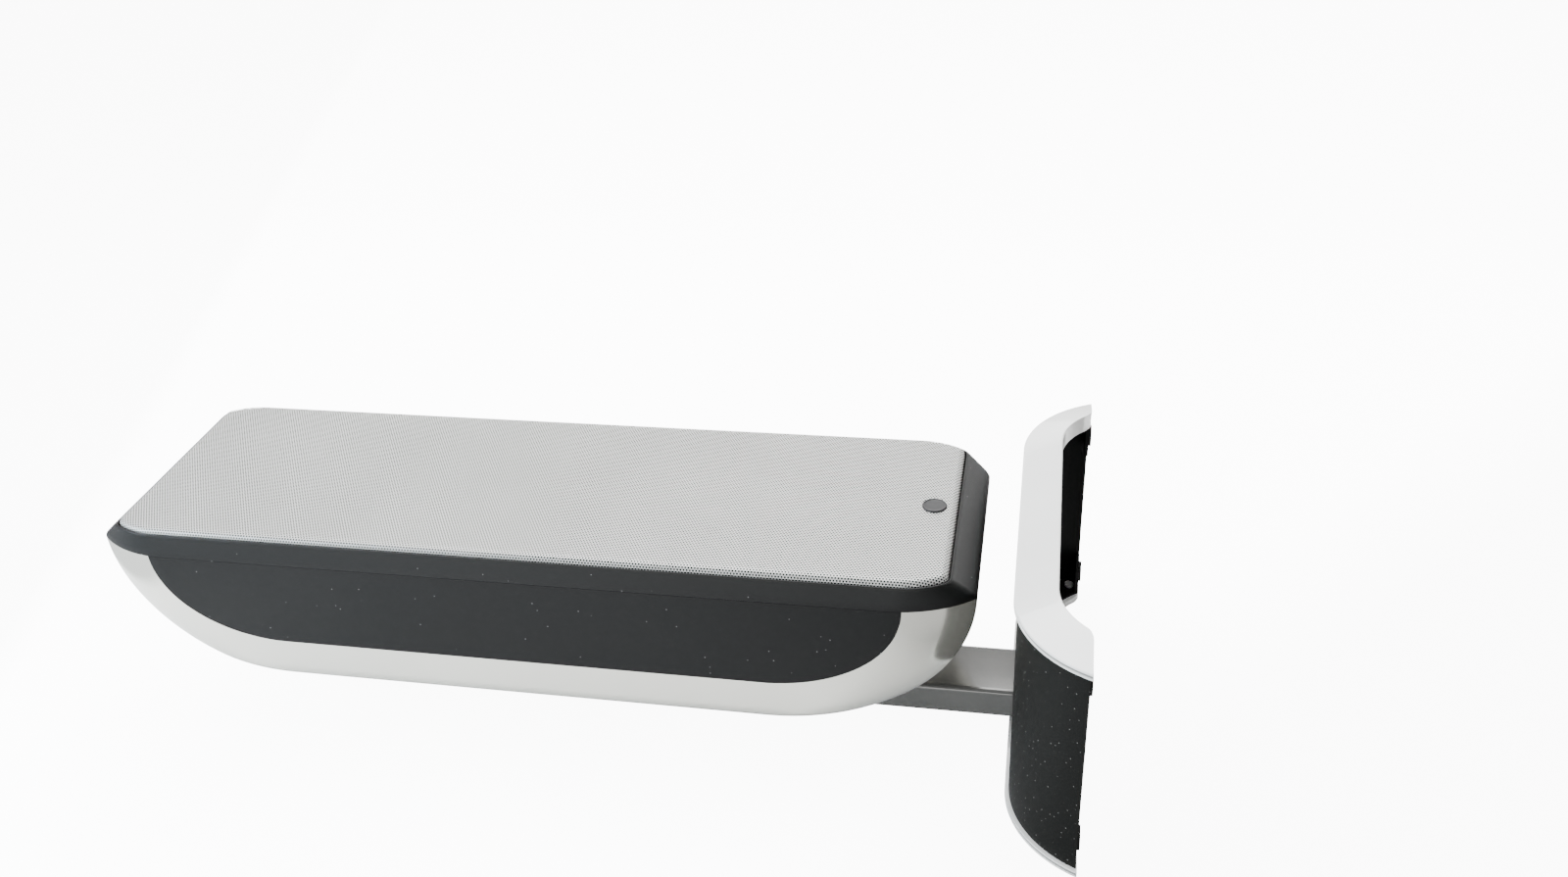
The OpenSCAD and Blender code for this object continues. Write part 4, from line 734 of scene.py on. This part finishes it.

# Studio
# A plain pale paper floor that looks white from the camera. Its colour is painted darker towards both ends,
# painted shade that darkens what the object's gloss reflects there. Light comes softly from all round,
# brightest from the back and left, and from four soft boxes: above, behind, low in front and at the left.
floor_half, paper_white = 8, 10.0
floor = bpy.data.meshes.new("floor")
floor.from_pydata([(-floor_half, -floor_half, 0), (floor_half, -floor_half, 0), (floor_half, floor_half, 0),
                   (-floor_half, floor_half, 0)], [], [(0, 1, 2, 3)])
ground = bpy.data.objects.new("floor", floor)
bpy.context.collection.objects.link(ground)
pale = bpy.data.materials.new("pale_floor")
pale.use_nodes = True
shader = pale.node_tree.nodes["Principled BSDF"]
shader.inputs["Roughness"].default_value = 0.9
shader.inputs["Emission Color"].default_value = (1, 1, 1, 1)
spot = pale.node_tree.nodes.new("ShaderNodeTexCoord")
floor_painted_shade = pale.node_tree.nodes.new("ShaderNodeMath")
floor_painted_shade.operation = "MULTIPLY"
# Painted shade: past each end the floor's colour falls from pale to grey, darkening the reflections in the
# object's gloss.
painted_shade_ends = [((1, 0.27, 0), (-0.6, -0.565), (0.42, 0.93)), ((1, -0.8, 0), (0.35, 0.53), (0.93, 0.35))]
for i, (slant, limits, shade_tones) in enumerate(painted_shade_ends):
    along = pale.node_tree.nodes.new("ShaderNodeVectorMath")
    along.operation = "DOT_PRODUCT"
    along.inputs[1].default_value = slant
    shade_ramp = pale.node_tree.nodes.new("ShaderNodeMapRange")
    for socket, value in zip(("From Min", "From Max", "To Min", "To Max"), limits + shade_tones):
        shade_ramp.inputs[socket].default_value = value
    pale.node_tree.links.new(spot.outputs["Object"], along.inputs[0])
    pale.node_tree.links.new(along.outputs["Value"], shade_ramp.inputs["Value"])
    pale.node_tree.links.new(shade_ramp.outputs["Result"], floor_painted_shade.inputs[i])
pale.node_tree.links.new(floor_painted_shade.outputs[0], shader.inputs["Base Color"])
seen = pale.node_tree.nodes.new("ShaderNodeLightPath")
glow = pale.node_tree.nodes.new("ShaderNodeMath")
glow.operation = "MULTIPLY"
glow.inputs[1].default_value = paper_white
pale.node_tree.links.new(seen.outputs["Is Camera Ray"], glow.inputs[0])
pale.node_tree.links.new(glow.outputs[0], shader.inputs["Emission Strength"])
floor.materials.append(pale)

world = bpy.data.worlds.new("studio")
world.use_nodes = True
world.node_tree.nodes["Background"].inputs["Color"].default_value = (1, 1, 1, 1)
sky = world.node_tree.nodes.new("ShaderNodeTexCoord")
toward = world.node_tree.nodes.new("ShaderNodeVectorMath")
toward.operation = "DOT_PRODUCT"
toward.inputs[1].default_value = (0.7, -0.71, 0)
dim = world.node_tree.nodes.new("ShaderNodeMapRange")
for socket, value in zip(("From Min", "From Max", "To Min", "To Max"), (-0.1, 0.7, 1.1, 0.2)):
    dim.inputs[socket].default_value = value
direct = world.node_tree.nodes.new("ShaderNodeLightPath")
white = world.node_tree.nodes.new("ShaderNodeMath")
white.operation = "MULTIPLY_ADD"
white.inputs[1].default_value = paper_white
world.node_tree.links.new(sky.outputs["Generated"], toward.inputs[0])
world.node_tree.links.new(toward.outputs["Value"], dim.inputs["Value"])
world.node_tree.links.new(direct.outputs["Is Camera Ray"], white.inputs[0])
world.node_tree.links.new(dim.outputs["Result"], white.inputs[2])
world.node_tree.links.new(white.outputs[0], world.node_tree.nodes["Background"].inputs["Strength"])
bpy.context.scene.world = world


def soft_box(name, place, aim, size_x, size_y, power, tint=(1, 1, 1)):
    light = bpy.data.lights.new(name, "AREA")
    light.shape = "RECTANGLE"
    light.size, light.size_y, light.energy = size_x, size_y, power
    light.color = tint
    lamp = bpy.data.objects.new(name, light)
    lamp.location = place
    lamp.visible_camera = False
    lamp.rotation_euler = (Vector(aim) - Vector(place)).to_track_quat("-Z", "Y").to_euler()
    bpy.context.collection.objects.link(lamp)


soft_box("top_box", (-0.35, 0.7, 2.05), (0, 0, 0.1), size_x=2.4, size_y=1.9, power=112)
soft_box("back_box", (0.1, 1.0, 0.45), (0.1, 0, 0.2), size_x=2.4, size_y=0.3, power=7)
soft_box("front_box", (-0.2, -1.9, 0.3), (-0.1, 0, 0.15), size_x=2.6, size_y=0.5, power=20)
soft_box("left_box", (-1.15, -0.75, 0.6), (-0.2, -0.2, 0), size_x=0.9, size_y=0.7, power=28,
         tint=(0.74, 0.88, 1.0))

# Camera
# It stands where the photograph was taken, with the picture's own framing by a small shift.
photo_w, photo_h, focal = 1600, 895, 1507.45
centre_x, centre_y = 736.77, 467.01
camera_at, camera_turn = (0.3512, -0.97275, 0.8085), (59.6163, 3.445, 11.8844)
lens = bpy.data.cameras.new("camera")
lens.sensor_width = 36
lens.lens = focal / photo_w * lens.sensor_width
lens.shift_x, lens.shift_y = (photo_w / 2 - centre_x) / photo_w, (centre_y - photo_h / 2) / photo_w
lens.clip_end = 50
camera = bpy.data.objects.new("camera", lens)
camera.location = camera_at
camera.rotation_euler = [math.radians(a) for a in camera_turn]
bpy.context.collection.objects.link(camera)
bpy.context.scene.camera = camera
